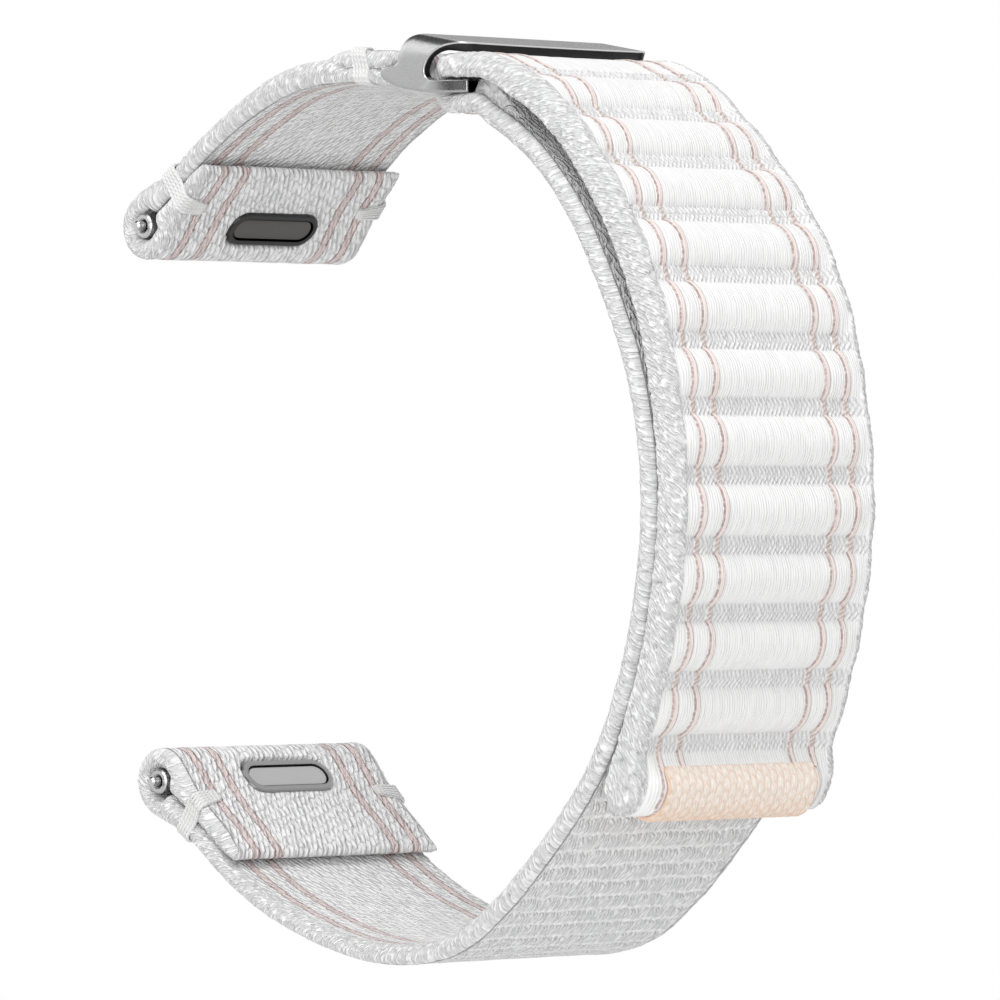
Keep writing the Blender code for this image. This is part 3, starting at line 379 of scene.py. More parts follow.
def cobbles(s, a, along, across, seed):
    """Irregular rounded loops, crowded together, from 0 to 1."""
    u, v = s / along, a / across
    i, j = np.floor(u), np.floor(v)
    best = np.full(np.broadcast(u, v).shape, 9.0)
    tone = np.zeros(best.shape)
    for di in (-1, 0, 1):
        for dj in (-1, 0, 1):
            ci, cj = i + di, j + dj
            pu = ci + 0.5 + 0.3 * (cj % 2) + 0.55 * (scatter(ci, cj, seed) - 0.5)
            pv = cj + 0.5 + 0.45 * (scatter(ci, cj, seed + 1.7) - 0.5)
            away = (u - pu) ** 2 + (v - pv) ** 2
            tone = np.where(away < best, scatter(ci, cj, seed + 3.1), tone)
            best = np.minimum(away, best)
    return np.sqrt(np.clip(1 - best / 0.6, 0, 1)) * (0.72 + 0.4 * tone)


# Meshes

def add_object(name, data):
    thing = bpy.data.objects.new(name, data)
    bpy.context.scene.collection.objects.link(thing)
    return thing


def make_mesh(name, points, weave, faces, kinds, materials):
    """Smooth mesh object. The attribute holds the way along, the way across and the relief."""
    mesh = bpy.data.meshes.new(name)
    mesh.vertices.add(len(points))
    mesh.vertices.foreach_set("co", to_row(points).astype(np.float32).ravel())
    loops = np.concatenate([face.ravel() for face in faces]).astype(np.int32)
    mesh.loops.add(len(loops))
    mesh.loops.foreach_set("vertex_index", loops)
    sizes = np.concatenate([[face.shape[1]] * len(face) for face in faces])
    mesh.polygons.add(len(sizes))
    mesh.polygons.foreach_set("loop_start", (np.cumsum(sizes) - sizes).astype(np.int32))
    for material in materials:
        mesh.materials.append(material)
    mesh.polygons.foreach_set("material_index", kinds.astype(np.int32))
    mesh.update(calc_edges=True)
    place = mesh.attributes.new("weave", "FLOAT_VECTOR", "POINT")
    place.data.foreach_set("vector", weave.astype(np.float32).ravel())
    mesh.shade_smooth()
    return add_object(name, mesh)


def ring_faces(count, ring):
    """Quads between equal rings, and a face over each end."""
    i, j = np.meshgrid(np.arange(count - 1), np.arange(ring), indexing="ij")
    k = (j + 1) % ring
    quads = [i * ring + j, i * ring + k, (i + 1) * ring + k, (i + 1) * ring + j]
    end = np.arange(ring)[None, :]
    return [np.stack(quads, -1).reshape(-1, 4), end[:, ::-1], end + (count - 1) * ring]


def skin(name, points, weave, bands, materials):
    """Closed mesh over equal rings of points, with the cloth's own coordinates kept on it."""
    faces = ring_faces(*points.shape[:2])
    points = points.reshape(-1, 3)
    a, b, c, d = (to_row(points)[faces[0][:, n]] for n in range(4))
    volume = sum(np.einsum("ij,ij->i", a, np.cross(p, q)).sum() for p, q in ((b, c), (c, d)))
    if volume < 0:
        faces = [face[:, ::-1] for face in faces]
    kinds = np.concatenate([bands[:-1].ravel(), [bands[0, 0], bands[-1, 0]]])
    return make_mesh(name, points, weave, faces, kinds, materials)


def tubes(name, paths, radius, steps, material):
    """Bundle of round threads or wires, one for each path of (x, y, z) points."""
    verts, faces, weave = [], [], []
    phi = np.linspace(0, 2 * np.pi, steps, endpoint=False)
    for path in paths:
        p = np.array(path)
        way = unit(np.gradient(p, axis=0))
        side = unit(np.cross(way, np.array([0.31, 0.17, 0.93])))
        other = np.cross(way, side)
        along = path_length(p)
        size = radius * rounded(np.minimum(along, along[-1] - along) / radius, 0.05)
        faces += [face + len(verts) for face in ring_faces(len(p), steps)]
        for k in range(len(p)):
            for angle in phi:
                out = side[k] * math.cos(angle) + other[k] * math.sin(angle)
                verts.append(p[k] + out * size[k])
                weave.append((along[k], angle * radius, 1.0))
    kinds = np.zeros(sum(len(face) for face in faces))
    return make_mesh(name, np.array(verts), np.array(weave), faces, kinds, [material])


class Grid:
    """Sections along a line, as arrays over its points and over a section's columns.

    y and n are a point's place in its section, ny and nn its normal, a its way across, side its
    side, along its way along the line, and w the half width.
    """

    def __init__(self, line, w, columns):
        self.s, self.out, self.normal = line
        self.w = w[:, None]
        self.y, self.n, self.ny, self.nn, self.a = (
            np.stack([column[k] for column in columns], 1) for k in range(5))
        self.side = np.array([column[5] for column in columns])[None, :]
        self.top = self.side == TOP
        self.along = np.broadcast_to(self.s[:, None], self.y.shape)

    def border(self, reach, soft):
        """Rise from 0 to 1 towards both edges, which starts at reach from them."""
        return ease((np.abs(self.y) - (self.w - reach)) / soft)

    def rings(self, d):
        """The points, moved out by d along their own normals."""
        height = self.n + self.nn * d
        x, z = (self.out[:, k:k + 1] + self.normal[:, k:k + 1] * height for k in (0, 1))
        return np.stack([x, self.y + self.ny * d, z], -1)

    def skin(self, name, rings, across, relief, kinds, materials):
        weave = np.stack([self.along, across, relief], -1)
        return skin(name, rings, weave, kinds + np.zeros(self.y.shape, int), materials)


def corner(sign, y, n, r, way, degrees):
    """Columns round a corner of radius r with its centre at (y, n)."""
    ones = np.ones_like(y)
    return [(sign * (y + r * math.cos(a)), n + r * math.sin(a), sign * math.cos(a) * ones,
             math.sin(a) * ones, way(a), 2 - sign) for a in np.radians(degrees)]


def stand_for(piece, node, body):
    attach(piece, body)
    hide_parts(node)


# Ribbons

def strap_section(w, half, counts):
    """Flat section with full round selvedges."""
    top, edge, under = counts
    flat, ones = w - half, np.ones_like(w)
    zeros = 0 * ones
    right, left = (corner(sign, flat, zeros, half, lambda a: half * (math.pi / 2 - a),
                          np.linspace(90, -90, edge + 2)[1:-1]) for sign in (1, -1))
    above = [(flat * share, half, zeros, ones, zeros, TOP) for share in np.linspace(-1, 1, top)]
    below = [(flat * share, -half, zeros, -ones, zeros, UNDER)
             for share in np.linspace(1, -1, under)]
    return above + right + below + left[::-1]


def strap_relief(g, edge, half, shrink):
    """Loops of the selvedges and beside them, over a slight unevenness, and their relief."""
    beside = g.border(1.3, 0.5)
    turn = np.sin(np.clip(g.a / (np.pi * half), 0, 1) * np.pi) ** 0.4
    loops = cobbles(g.along, g.a, EDGE_LOOP, EDGE_LOOP * 0.86, 3.0 + 2.0 * (g.side == LEFT))
    rows = cobbles(g.along, g.y, EDGE_LOOP, EDGE_LOOP * 0.8, 5.0)
    d = np.where(edge, EDGE_RELIEF * (loops - 0.4) * turn,
                 0.5 * EDGE_RELIEF * beside * (rows - 0.4))
    # relief is 1 on raised loops and lower between them; the materials darken the colour with it,
    # as painted shade
    relief = np.where(edge, 1 - turn * (1 - loops), 1 - beside * (1 - rows))
    return d + 0.06 * (lumps(g.along, g.y + 9 * g.side, 1.4, 2.0) - 0.5) * shrink, relief


def lug_filling(g, flap, wrist_side):
    """Swelling of both layers beside a bar tube, which closes the gap between them."""
    strap = flap + math.pi * WRAP
    away = np.where(g.along < (flap + strap) / 2, flap - g.along, g.along - strap)
    gap = (2 * WRAP - FLAP_STEP) * (1 - ease(away / SETTLE)) + FOLDED_GAP
    close = ease((away - 1.1) / 0.9) * g.border(2.0, 0.9)
    toward = np.clip(g.nn * (1 if wrist_side == UNDER else -1), 0, 1)
    return np.clip(gap / 2 - 0.06, 0, None) * close * toward * (away > 0) * (away < SETTLE)


def bezel_window(g, d, centre, wrist_side):
    """The skin sunk out of the release case's way, in the bezel's own outline."""
    off = g.along - centre
    reach = BEZEL_LENGTH / 2 - BEZEL_WIDTH / 2
    away = np.hypot(np.clip(np.abs(g.y) - reach, 0, None), off) - (BEZEL_WIDTH / 2 - 0.12)
    inside = (np.abs(off) < BEZEL_WIDTH) & (g.side == wrist_side)
    return np.where(inside, d - 1.2 * ease(-away / 0.22), d)


def mouth_ridge(g, d):
    """The long strap's wrist side swollen under the front bar."""
    rise = np.interp(g.s[-1] - g.along, [0.1, 0.5, 1.3, 2.8, 5.5], [0, 1, 1, 0.75, 0])
    return d + RIDGE * (1 - g.border(1.5, 0.7)) * rise * np.clip(-g.nn, 0, 1)


def flap_rope(g, d):
    """The short strap's edges swollen beside its buckle flap, and the flap's tip drawn in."""
    left, flap = g.s[-1] - g.along, 2 * BUCKLE_FLAP + math.pi * REAR_WRAP
    rim = g.border(2.2, 0.9)
    rope = np.interp(left, [flap - 0.9, flap, flap + 4, flap + 13], [0, 1, 0.8, 0])
    roll = np.interp(left, [0.2, 0.9, 6.5, 7.8], [0, 1, 1, 0])
    tip = np.interp(left, [0, 0.3, 1.6], [1, 0.8, 0])
    d = d + 0.6 * rim * rope * np.clip(g.nn, 0, 1)
    d = d + 0.28 * (g.side % 2) * roll * np.clip(g.nn, 0, 1)
    return d - 0.18 * tip * rim * np.clip(-g.nn, 0, 1)


def strap_piece(name, rows, spacing, counts, flap, wrist_side, swell, materials,
                pile_from=math.inf):
    """Woven ribbon with rolled selvedges, sewn round a bar tube at its first end.

    A row has x, z, thickness and half width. Materials: weave, selvedge, pile.
    """
    rows = np.array(rows)
    *line, carried = refine(rows[:, :2], rows[:, 2:], spacing)
    s, w = line[0], carried[:, 1]
    shrink = rounded(np.minimum(s, s[-1] - s) / 0.5, 0.02)
    half = carried[:, 0] / 2 * shrink
    g = Grid(line, w, strap_section(w, half, counts))
    edge = g.side % 2 == 1
    d, relief = strap_relief(g, edge, half[:, None], shrink[:, None])
    d = swell(g, d + lug_filling(g, flap, wrist_side))
    d = bezel_window(g, d, flap - BUTTON_ALONG, wrist_side)
    across = g.y * (LUG_WIDTH / 2) / g.w + np.where(edge, np.sign(g.y) * g.a, 0)
    pile = (g.side == UNDER) & (g.along > pile_from) & (np.abs(g.y) < g.w - 1.1)
    kinds = np.where(pile, 2, g.side % 2)
    return g.skin(name, g.rings(d), across, relief, kinds, materials)


def sewn_rows(line):
    """Rows for strap_piece along a line that starts at a flap's end."""
    thickness = np.interp(np.arange(len(line)), [0, 3], [FLAP_TIP, RIBBON])
    return [(*point, thick, half_width(angle)) for (point, angle), thick in zip(line, thickness)]


def build_long(materials):
    rows = sewn_rows(lug_line(LOWER_LUG, LOWER_FLAP, RUN_END_ANGLE))
    under = RIBBON * 0.9
    low = FRONT_BAR[1] - FRONT_BAR_HEIGHT / 2 - BAR_FOLD_GAP - under / 2
    for place, thick in ((0.35, under), (0.02, under - 0.14)):
        along = FRONT_BAR[0] + FRONT_BAR_WIDTH * place
        rows.append((along, low, thick, half_width(TAIL_START_ANGLE)))
    return strap_piece("long_strap_cloth", rows, 0.17, (64, 14, 96), LOWER_FLAP, UNDER,
                       mouth_ridge, materials, LOWER_FLAP + math.pi * WRAP + 16.0)


def fold_thickness(distance):
    return FOLD_THIN + (FOLDED - FOLD_THIN) * ease(distance / 4.0)


def short_offset(distance):
    rest = (FOLDED + FOLDED_GAP) / 2
    return rest + (REAR_WRAP - rest) * (1 - ease(distance / (0.6 * BUCKLE_FLAP)))


def short_middle(angle):
    lead = 1 - ease((angle - REAR_ANGLE) / 12)
    return short_radius(angle) + (REAR_DISTANCE - short_radius(REAR_ANGLE)) * lead


def build_short(materials):
    per_degree = math.radians(1.0) * REAR_DISTANCE
    double_end = REAR_ANGLE + 1.9 * BUCKLE_FLAP / per_degree
    rows = sewn_rows(lug_line(UPPER_LUG, UPPER_FLAP, double_end))
    for angle in np.linspace(double_end, REAR_ANGLE, 17)[1:-1]:
        distance = (angle - REAR_ANGLE) * per_degree
        single = ease(distance / BUCKLE_FLAP - 0.8)
        point = polar(short_middle(angle) - short_offset(distance) * (1 - single), angle)
        thick = fold_thickness(distance) * (1 - single) + RIBBON * single
        rows.append((*point, thick, half_width(angle)))
    for angle in np.linspace(REAR_ANGLE - 180, REAR_ANGLE, 17):
        point = REAR_BAR + polar(REAR_WRAP, angle)
        rows.append((*point, FOLD_THIN, half_width(REAR_ANGLE)))
    flap_end = REAR_ANGLE + BUCKLE_FLAP / per_degree
    for angle in np.linspace(REAR_ANGLE, flap_end, 10)[1:]:
        distance = (angle - REAR_ANGLE) * per_degree
        point = polar(short_middle(angle) + short_offset(distance), angle)
        thick = fold_thickness(distance) if angle < flap_end else FLAP_TIP
        rows.append((*point, thick, half_width(angle)))
    return strap_piece("short_strap_cloth", rows, 0.15, (72, 14, 110), UPPER_FLAP, TOP,
                       flap_rope, materials)


# Tail

def tail_frames():
    """The tail's underside: way from the hinge at its start, points, normals and loop angles.

    It starts in the fold under the buckle's front bar.
    """
    reach = FRONT_BAR_HEIGHT / 2 + BAR_FOLD_GAP
    turn = FRONT_BAR + np.array([reach - FRONT_BAR_WIDTH / 2 - BAR_FOLD_GAP, 0.0])
    points = [turn + np.array([x, -reach]) for x in (1.9, 1.0)]
    points += [turn + polar(reach, a) for a in np.linspace(-90, -270, 13)]
    points.append(FRONT_BAR + np.array([0.9, reach]))
    angles = np.arange(71.0, -50.0, -1.0)
    loop_angles = np.array([TAIL_START_ANGLE] * len(points) + list(angles))
    points += [polar(tail_radius(a), a) for a in angles]
    s, out, normal, carried = refine(points, loop_angles[:, None], 0.13)
    angle = carried[:, 0]
    start_at = np.interp(-TAIL_START_ANGLE, -angle[angle.argmax():], s[angle.argmax():])
    return s - start_at, out, normal, angle


def crest_height(s):
    """Cushions and channels, and the swelling at the tail's end."""
    last = RIBS * RIB_LENGTH
    phase = (s / RIB_LENGTH) % 1.0
    rise = (2 * np.minimum(phase, 1 - phase) - RIB_RISE) / (1 - RIB_RISE)
    share = np.sin(np.pi / 2 * np.clip(rise, 0, 1)) ** 0.62
    ribs = FLOOR + (CREST + 0.06 - FLOOR) * share
    swell = FLOOR + (END_HEIGHT - FLOOR) * ease((s - last) / LOBE_RISE)
    height = np.where(s > last, swell, ribs)
    return np.where(s < -0.4, np.interp(s, *zip(*LEAD_HEIGHTS)), height)


def edge_height(s):
    swell = ease((s - RIBS * RIB_LENGTH) / LOBE_RISE)
    phase = (s / RIB_LENGTH) % 1.0
    bulge = 0.16 * (np.sin(np.pi * phase) ** 2 - 0.5) * (1 - swell)
    height = EDGE + bulge + (LOBE_HEIGHT - EDGE) * swell
    return np.where(s < 0.5, np.interp(s, *zip(*LEAD_EDGES)), height)


def tail_section(w, r, crest, edge):
    """Crowned top, sides with corners of radius r above and CORNER_LOW below, flat underside."""
    low, ones = CORNER_LOW, np.ones_like(w)
    zeros, top_end = 0 * ones, w - r
    upright = top_end + math.pi / 2 * r

    def flank(sign):
        rows = corner(sign, top_end, edge - r, r, lambda a: top_end + r * (math.pi / 2 - a),
                      np.linspace(90, 0, 9)[1:])
        for share in np.linspace(0, 1, 8)[1:]:
            height = (edge - r) + (low - (edge - r)) * share
            rows.append((sign * w, height, sign * ones, zeros, upright + (edge - r - height),
                         2 - sign))
        return rows + corner(sign, w - low, low * ones, low,
                             lambda a: upright + (edge - r - low) - low * a,
                             np.linspace(0, -90, 6)[1:])

    blocks = []
    for share in np.linspace(-1, 1, 201):
        y = top_end * share
        blocks.append((y, crest - (crest - edge) * abs(share) ** 9, zeros, ones, np.abs(y), TOP))
    blocks += flank(1)
    for share in np.linspace(1, -1, 24)[1:-1]:
        y = (w - low) * share
        blocks.append((y, zeros, zeros, -ones, np.abs(y), UNDER))
    return blocks + flank(-1)[::-1]


def channel_stitches(g, c):
    """Two rows of slanting stitches at c from the middle of a channel, as heights."""
    wobble = 0.6 * (lumps(g.along, g.y, 1.7, 4.0) - 0.5)
    rows = []
    for sign, lean, shift in ((-1, 0.95, 0.0), (1, -0.75, 0.5)):
        row = np.clip(np.cos(np.pi / STITCH_SPAN * (c + sign * STITCH_OFF)), 0, 1) ** 0.5
        thread = g.y / STITCH_PITCH + lean * c / TWIST_PITCH + shift + wobble
        rows.append(np.cos(np.pi * thread) ** 2 * row)
    cells = scatter(np.floor(g.y / STITCH_PITCH), np.round(g.along / RIB_LENGTH), 8.0)
    return np.maximum(*rows) * (0.55 + 0.7 * cells)


def tail_relief(g, across, top_end):
    """Stitches, striped cords and selvedge loops: how far they stand out, and their relief."""
    c = (g.along / RIB_LENGTH - np.round(g.along / RIB_LENGTH)) * RIB_LENGTH
    in_channel = ((1 - ease((np.abs(c) - CHANNEL_HALF) / CHANNEL_SOFT)) * (g.along > -1.2)
                  * (g.along < RIBS * RIB_LENGTH + 0.8))
    body = 1 - g.border(1.1, 0.4)
    stitches = channel_stitches(g, c)
    d = STITCH_HEIGHT * stitches * in_channel * body
    # relief is lower in the channels off the stitches, on the twisted cords there and between the
    # selvedge loops; the cushion material darkens the colour with it, as painted shade
    relief = 1 - in_channel * body * (1 - np.clip(stitches * 1.3, 0, 1))
    for stripe in STRIPES_TAIL:
        off = np.abs(np.abs(across) - stripe)
        cord = np.sqrt(np.clip(1 - (off / CORD_HALF) ** 2, 0, 1))
        groove = np.exp(-((off - GROOVE_OFF) / GROOVE) ** 2)
        twist = 1 + 0.7 * in_channel * np.cos(2 * np.pi * g.along / TWIST_PITCH)
        d = d * (1 - cord) + CORD_HEIGHT * cord * twist - GROOVE * groove
        relief = relief * (1 - cord) + cord * (1 - 0.5 * in_channel * (1 - twist / 1.7))
    d, relief = np.where(g.top, d, 0.0), np.where(g.top, relief, 1.0)
    band = np.where(g.top, ease((np.abs(g.y) - (top_end - 0.15)) / 0.25), 1.0)
    around = np.where(g.top, np.abs(g.y), g.a) - top_end + 0.15
    seed = 6.0 + 2.0 * np.sign(g.y)
    loops = cobbles(g.along, around, SELVEDGE_LOOP, SELVEDGE_LOOP * 0.85, seed)
    outside = np.where(g.side == UNDER, 0.0, band)
    d = d + TAIL_RELIEF * outside * (loops - 0.35)
    d = d + 0.05 * (lumps(g.along, g.y + 7 * g.side, 1.1, 9.0) - 0.5)
    d = d * np.where(g.along > TAIL_LENGTH - 0.5, 0.3, 1.0)
    return d, relief * (1 - outside * (1 - loops))


def tail_piece(name, start, end, materials):
    """Length of the ribbed tail, as a closed skin. Materials: cushion, selvedge, pile."""
    s, out, normal, angle = tail_frames()
    start = max(start, s[0])
    keep = (s >= start - 0.065) & (s <= min(end, TAIL_LENGTH - 0.01) + 0.065)
    s, out, normal, angle = s[keep], out[keep], normal[keep], angle[keep]
    s[0], s[-1] = start, min(end, s[-1])
    w = np.array([half_width(a) for a in angle])
    w = w + MOUTH_BULGE * ease((s + 7.7) / 0.9) * (1 - ease((s + 4.0) / 12.0))
    edge = edge_height(s)
    r = np.clip(0.5 * edge, 0.5, 0.85)
    g = Grid((s, out, normal), w, tail_section(w, r, crest_height(s), edge))
    top_end = (w - r)[:, None]
    across = np.where(g.top, g.y, np.sign(g.y) * g.a) * (LUG_WIDTH / 2) / g.w
    d, relief = tail_relief(g, across, top_end)

    # The end is round in profile, and the skin is sunk under the tab and the hook tape
    past = np.clip((g.along - (TAIL_LENGTH - END_RADIUS)) / END_RADIUS, 0, 0.995)
    round_off = np.sqrt(1 - past ** 2)
    g.n = np.where(past > 0, END_RADIUS + (g.n - END_RADIUS) * round_off, g.n)
    tape = 1 - ease((np.abs(g.y) - TAB_WIDTH / 2 + 0.2) / 0.2)
    front = np.where(g.top, ease((g.along - (TAB_START - 0.05)) / 0.2), 0)
    back = np.where(g.side == UNDER, ease((g.along - (PATCH_START - 0.3)) / 0.2), 0)
    depth = TAB_SINK + TAB_THICKNESS + 0.1
    sunk = depth * (1 - 0.7 * past) * tape * np.maximum(front, back)
    rings = g.rings(d * (1 - tape * front))
    way = np.column_stack([normal[:, 1], -normal[:, 0]])
    upright = round_off * np.where(g.top, 1, -1)
    for axis, k in ((0, 0), (2, 1)):
        rings[..., axis] -= sunk * (way[:, k:k + 1] * past + normal[:, k:k + 1] * upright)

    # No stripes show under the tab
    under_tab = g.top & (g.along > TAB_START + 0.1) & (tape > 0)
    across = np.where(under_tab, np.sign(g.y) * np.maximum(np.abs(across), PAST_STRIPES), across)
    cushion = g.top & (np.abs(g.y) <= top_end - 0.1)
    kinds = np.where(g.side == UNDER, 2, np.where(cushion, 0, 1))
    return g.skin(name, rings, across, relief, kinds, materials)


def hinge_span(angle, reach):
    """Two points on either side of a hinge, along the tail."""
    middle = polar(tail_radius(angle) + EDGE, angle)
    way = np.array([math.sin(math.radians(angle)), -math.cos(math.radians(angle))])
    ends = (middle - way * reach, middle + way * reach)
    return [Vector(to_row(np.array([x, 0.0, z]))) for x, z in ends]


def tail_angle(distance):
    angle, left = TAIL_START_ANGLE, distance
    while left > 0:
        piece = math.radians(0.5) * tail_radius(angle)
        if piece > left:
            return angle - 0.5 * left / piece
        left -= piece
        angle -= 0.5
    return angle


def build_cloth(weave, selvedge, pile, cushion):
    stand_for(build_long([weave, selvedge, pile]), "long_strap", "long_strap")
    stand_for(build_short([weave, selvedge, pile]), "short_strap", "short_strap")
    materials = [cushion, selvedge, pile]
    upper = tail_piece("tail_upper_cloth", -math.inf, TAIL_CUT, materials)
    lower = tail_piece("tail_lower_cloth", TAIL_CUT, TAIL_LENGTH, materials)
    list(hinge_span(TAIL_START_ANGLE, 1.6))
    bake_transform(upper)
    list(hinge_span(tail_angle(TAIL_SPLIT), 1.6))
    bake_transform(lower)
    for piece, node in ((upper, "padded_tail"), (lower, "tail_end")):
        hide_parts(node)


# Tab and hook tape, at the tail's end

def tail_skin(frames, distance, depth):
    """Point at a depth under the tail's skin, counted from the middle of its rounded end."""
    s, out, normal, _ = frames
    along = TAIL_LENGTH - END_RADIUS + TAB_PROUD - max(abs(distance) - END_QUARTER, 0)
    place = np.array([np.interp(along, s, out[:, k]) for k in (0, 1)])
    upward = np.array([np.interp(along, s, normal[:, k]) for k in (0, 1)])
    upward /= np.linalg.norm(upward)
    if distance < -END_QUARTER:
        return place + upward * (float(crest_height(along)) - depth)
    if distance > END_QUARTER:
        return place + upward * depth
    turn = distance / END_RADIUS
    way = np.array([upward[1], -upward[0]])
    aim = way * math.cos(turn) - upward * math.sin(turn)
    return place + upward * END_RADIUS + aim * (END_RADIUS - depth)


def tail_tape(name, start, finish, depth, thickness, counts, pattern, material):
    """Flat tape laid on the tail's skin, with a relief on its outer face, and its line."""
    frames = tail_frames()
    line = [tail_skin(frames, x, depth + thickness / 2)
            for x in np.linspace(start, finish, TAPE_POINTS)]
    *line, _ = refine(line, np.zeros((TAPE_POINTS, 1)), 0.085)
    s = line[0]
    half = thickness / 2 * rounded(np.minimum(s, s[-1] - s) / 0.2, 0.02)
    w = TAB_WIDTH / 2 * np.ones_like(s)
    g = Grid(line, w, strap_section(w, half, counts))
    relief, height = pattern(g)
    return g.skin(name, g.rings(height), g.y, relief, 0, [material]), line


def tab_pattern(g):
    """Staggered columns of raised dashes."""
    column = np.floor(g.y / TAB_COLUMN)
    across = np.cos(np.pi * (g.y / TAB_COLUMN - column - 0.5))
    row = g.along / TAB_ROW + 0.5 * (column % 2) + 0.35 * across
    along = np.cos(np.pi * (row - np.floor(row) - 0.5))
    dash = np.clip(across * 1.25, 0, 1) ** 0.6 * np.clip(along * 1.3, 0, 1) ** 0.6
    return np.where(g.top, dash, 0.4), np.where(g.top, DASH_HEIGHT * dash, 0.0)


def plain_pattern(g):
    return 1.0 + 0 * g.y, 0 * g.y


def build_tab(material):
    tab, _ = tail_tape("end_tab_cloth", -END_QUARTER - TAB_FRONT + END_RADIUS,
                       END_QUARTER + TAB_BACK - END_RADIUS, TAB_SINK, TAB_THICKNESS,
                       (190, 5, 24), tab_pattern, material)
    stand_for(tab, "end_tab", "tail_end")


def build_patch(material):
    """Hook tape: a thin back with rows of small hooks, bent alternately up and down the tail."""
    first = END_QUARTER + TAB_BACK - END_RADIUS + 2 * TAB_GAP
    back, line = tail_tape("hook_patch_back", first, first + PATCH_LENGTH, PATCH_THICKNESS / 2,
                           PATCH_THICKNESS / 2 - 0.02, (40, 3, 12), plain_pattern, material)
    s, out, normal = line
    paths = []
    for i, place in enumerate(np.arange(0.6, s[-1] - 0.5, HOOK_PITCH)):
        k = int(np.searchsorted(s, place))
        way = np.array([normal[k, 1], -normal[k, 0]]) * (1 if i % 2 else -1)
        for y in np.arange(-TAB_WIDTH / 2 + 0.5 + 0.25 * (i % 2), TAB_WIDTH / 2 - 0.4, HOOK_PITCH):
            path = []
            for lean, rise in HOOK_SHAPE:
                p = out[k] + normal[k] * (PATCH_THICKNESS / 4 - 0.03 + rise) + way * lean
                path.append((p[0], y, p[1]))
            paths.append(path)
    hooks = tubes("hook_patch_hooks", paths, HOOK_RADIUS, 5, material)
    for piece in (back, hooks):
        stand_for(piece, "hook_patch", "tail_end")


# Buckle

def buckle_band(materials):
    """Both end plates and the top bar, as one band bent over the strap, with a rim at its mouth.

    Materials: face; rim, paler as a painted highlight; inside, near black as painted shade.
    """
    rows = []
    for outer, mouth, normal, thick in BUCKLE_STATIONS:
        centre = [(a + b) / 2 for a, b in zip(outer, mouth)]
        rows.append(centre + [*outer, *mouth, *normal, thick])
    flip = np.array([1, -1, 1] * 4 + [1])
    rows, _, _ = smooth(rows + [list(np.array(row) * flip) for row in rows[::-1]], 0.12)
    o, m, n, thick = rows[:, 3:6], rows[:, 6:9], unit(rows[:, 9:12]), rows[:, 12]
    length = np.linalg.norm(m - o, axis=1)
    way = (m - o) / length[:, None]
    rim, back, inner = RIM_BEVEL, BACK_BEVEL, INNER_BEVEL
    quarter = np.linspace(0, math.pi / 2, 6)

    # Round one station: the way from the outer edge, the depth under the face, and the material
    ring = [(back + (length - rim - back) * t, 0.0, FACE)
            for t in (0, 0.12, 0.3, 0.5, 0.7, 0.85, 0.95, 0.985, 1)]
    # The mouth's bevel takes the paler material, a painted highlight
    ring += [(length - rim + rim * math.sin(q), rim - rim * math.cos(q), RIM_HIGHLIGHT)
             for q in quarter[1:-1]]
    # The mouth's wall and the underside take the near black material, painted shade
    ring += [(length, rim + (thick - inner - rim) * t, INSIDE_SHADE) for t in (0.0, 0.1, 0.5, 0.9, 1.0)]
    ring += [(length - inner + inner * math.cos(q), thick - inner + inner * math.sin(q), INSIDE_SHADE)
             for q in quarter[2::2]]
    ring += [(back + (length - inner - back) * t, thick, INSIDE_SHADE) for t in np.linspace(0.8, 0, 5)]
    ring += [(back - back * math.sin(q), thick - back + back * math.cos(q), FACE)
             for q in quarter[1:]]
    ring += [(back - back * math.cos(q), back - back * math.sin(q), FACE) for q in quarter[:-1]]

    def place(along, deep):
        along, deep = (np.broadcast_to(v, length.shape)[:, None] for v in (along, deep))
        return o + way * along - n * deep

    points = np.stack([place(along, deep) for along, deep, _ in ring], 1)
    points += np.array([FRONT_BAR[0], 0.0, FRONT_BAR[1]])
    bands = np.tile([kind for _, _, kind in ring], (len(points), 1))
    return skin("buckle_band", points, np.zeros(points.shape), bands, materials)


def build_buckle(face, rim, inside):
    band = buckle_band([face, rim, inside])
    half = BUCKLE_LENGTH / 2 - 0.5
    line = [(REAR_BAR[0], y, REAR_BAR[1]) for y in np.linspace(-half, half, 40)]
    rear = tubes("buckle_rear_bar", [line], REAR_BAR_RADIUS, 32, face)
    x0, x1 = -FRONT_BAR_WIDTH / 2 + BAR_BEVEL, FRONT_BAR_EDGE - BAR_BEVEL
    z = FRONT_BAR_HEIGHT / 2 - BAR_BEVEL
    corners = [(x + BAR_BEVEL * math.cos(a), h + BAR_BEVEL * math.sin(a))
               for x, h, first in ((x1, z, 0), (x0, z, 90), (x0, -z, 180), (x1, -z, 270))
               for a in np.radians(np.linspace(first, first + 90, 5))]
    points = np.array([[(FRONT_BAR[0] + x, y, FRONT_BAR[1] + h) for x, h in corners]
                       for y in np.linspace(0.4 - half, half - 0.4, 20)])
    # The whole front bar takes the near black material, painted shade
    front = skin("buckle_front_bar", points, np.zeros(points.shape),
                 np.zeros(points.shape[:2], int), [inside])
    for piece in (band, rear, front):
        stand_for(piece, "buckle_frame", "buckle")


# Stitches

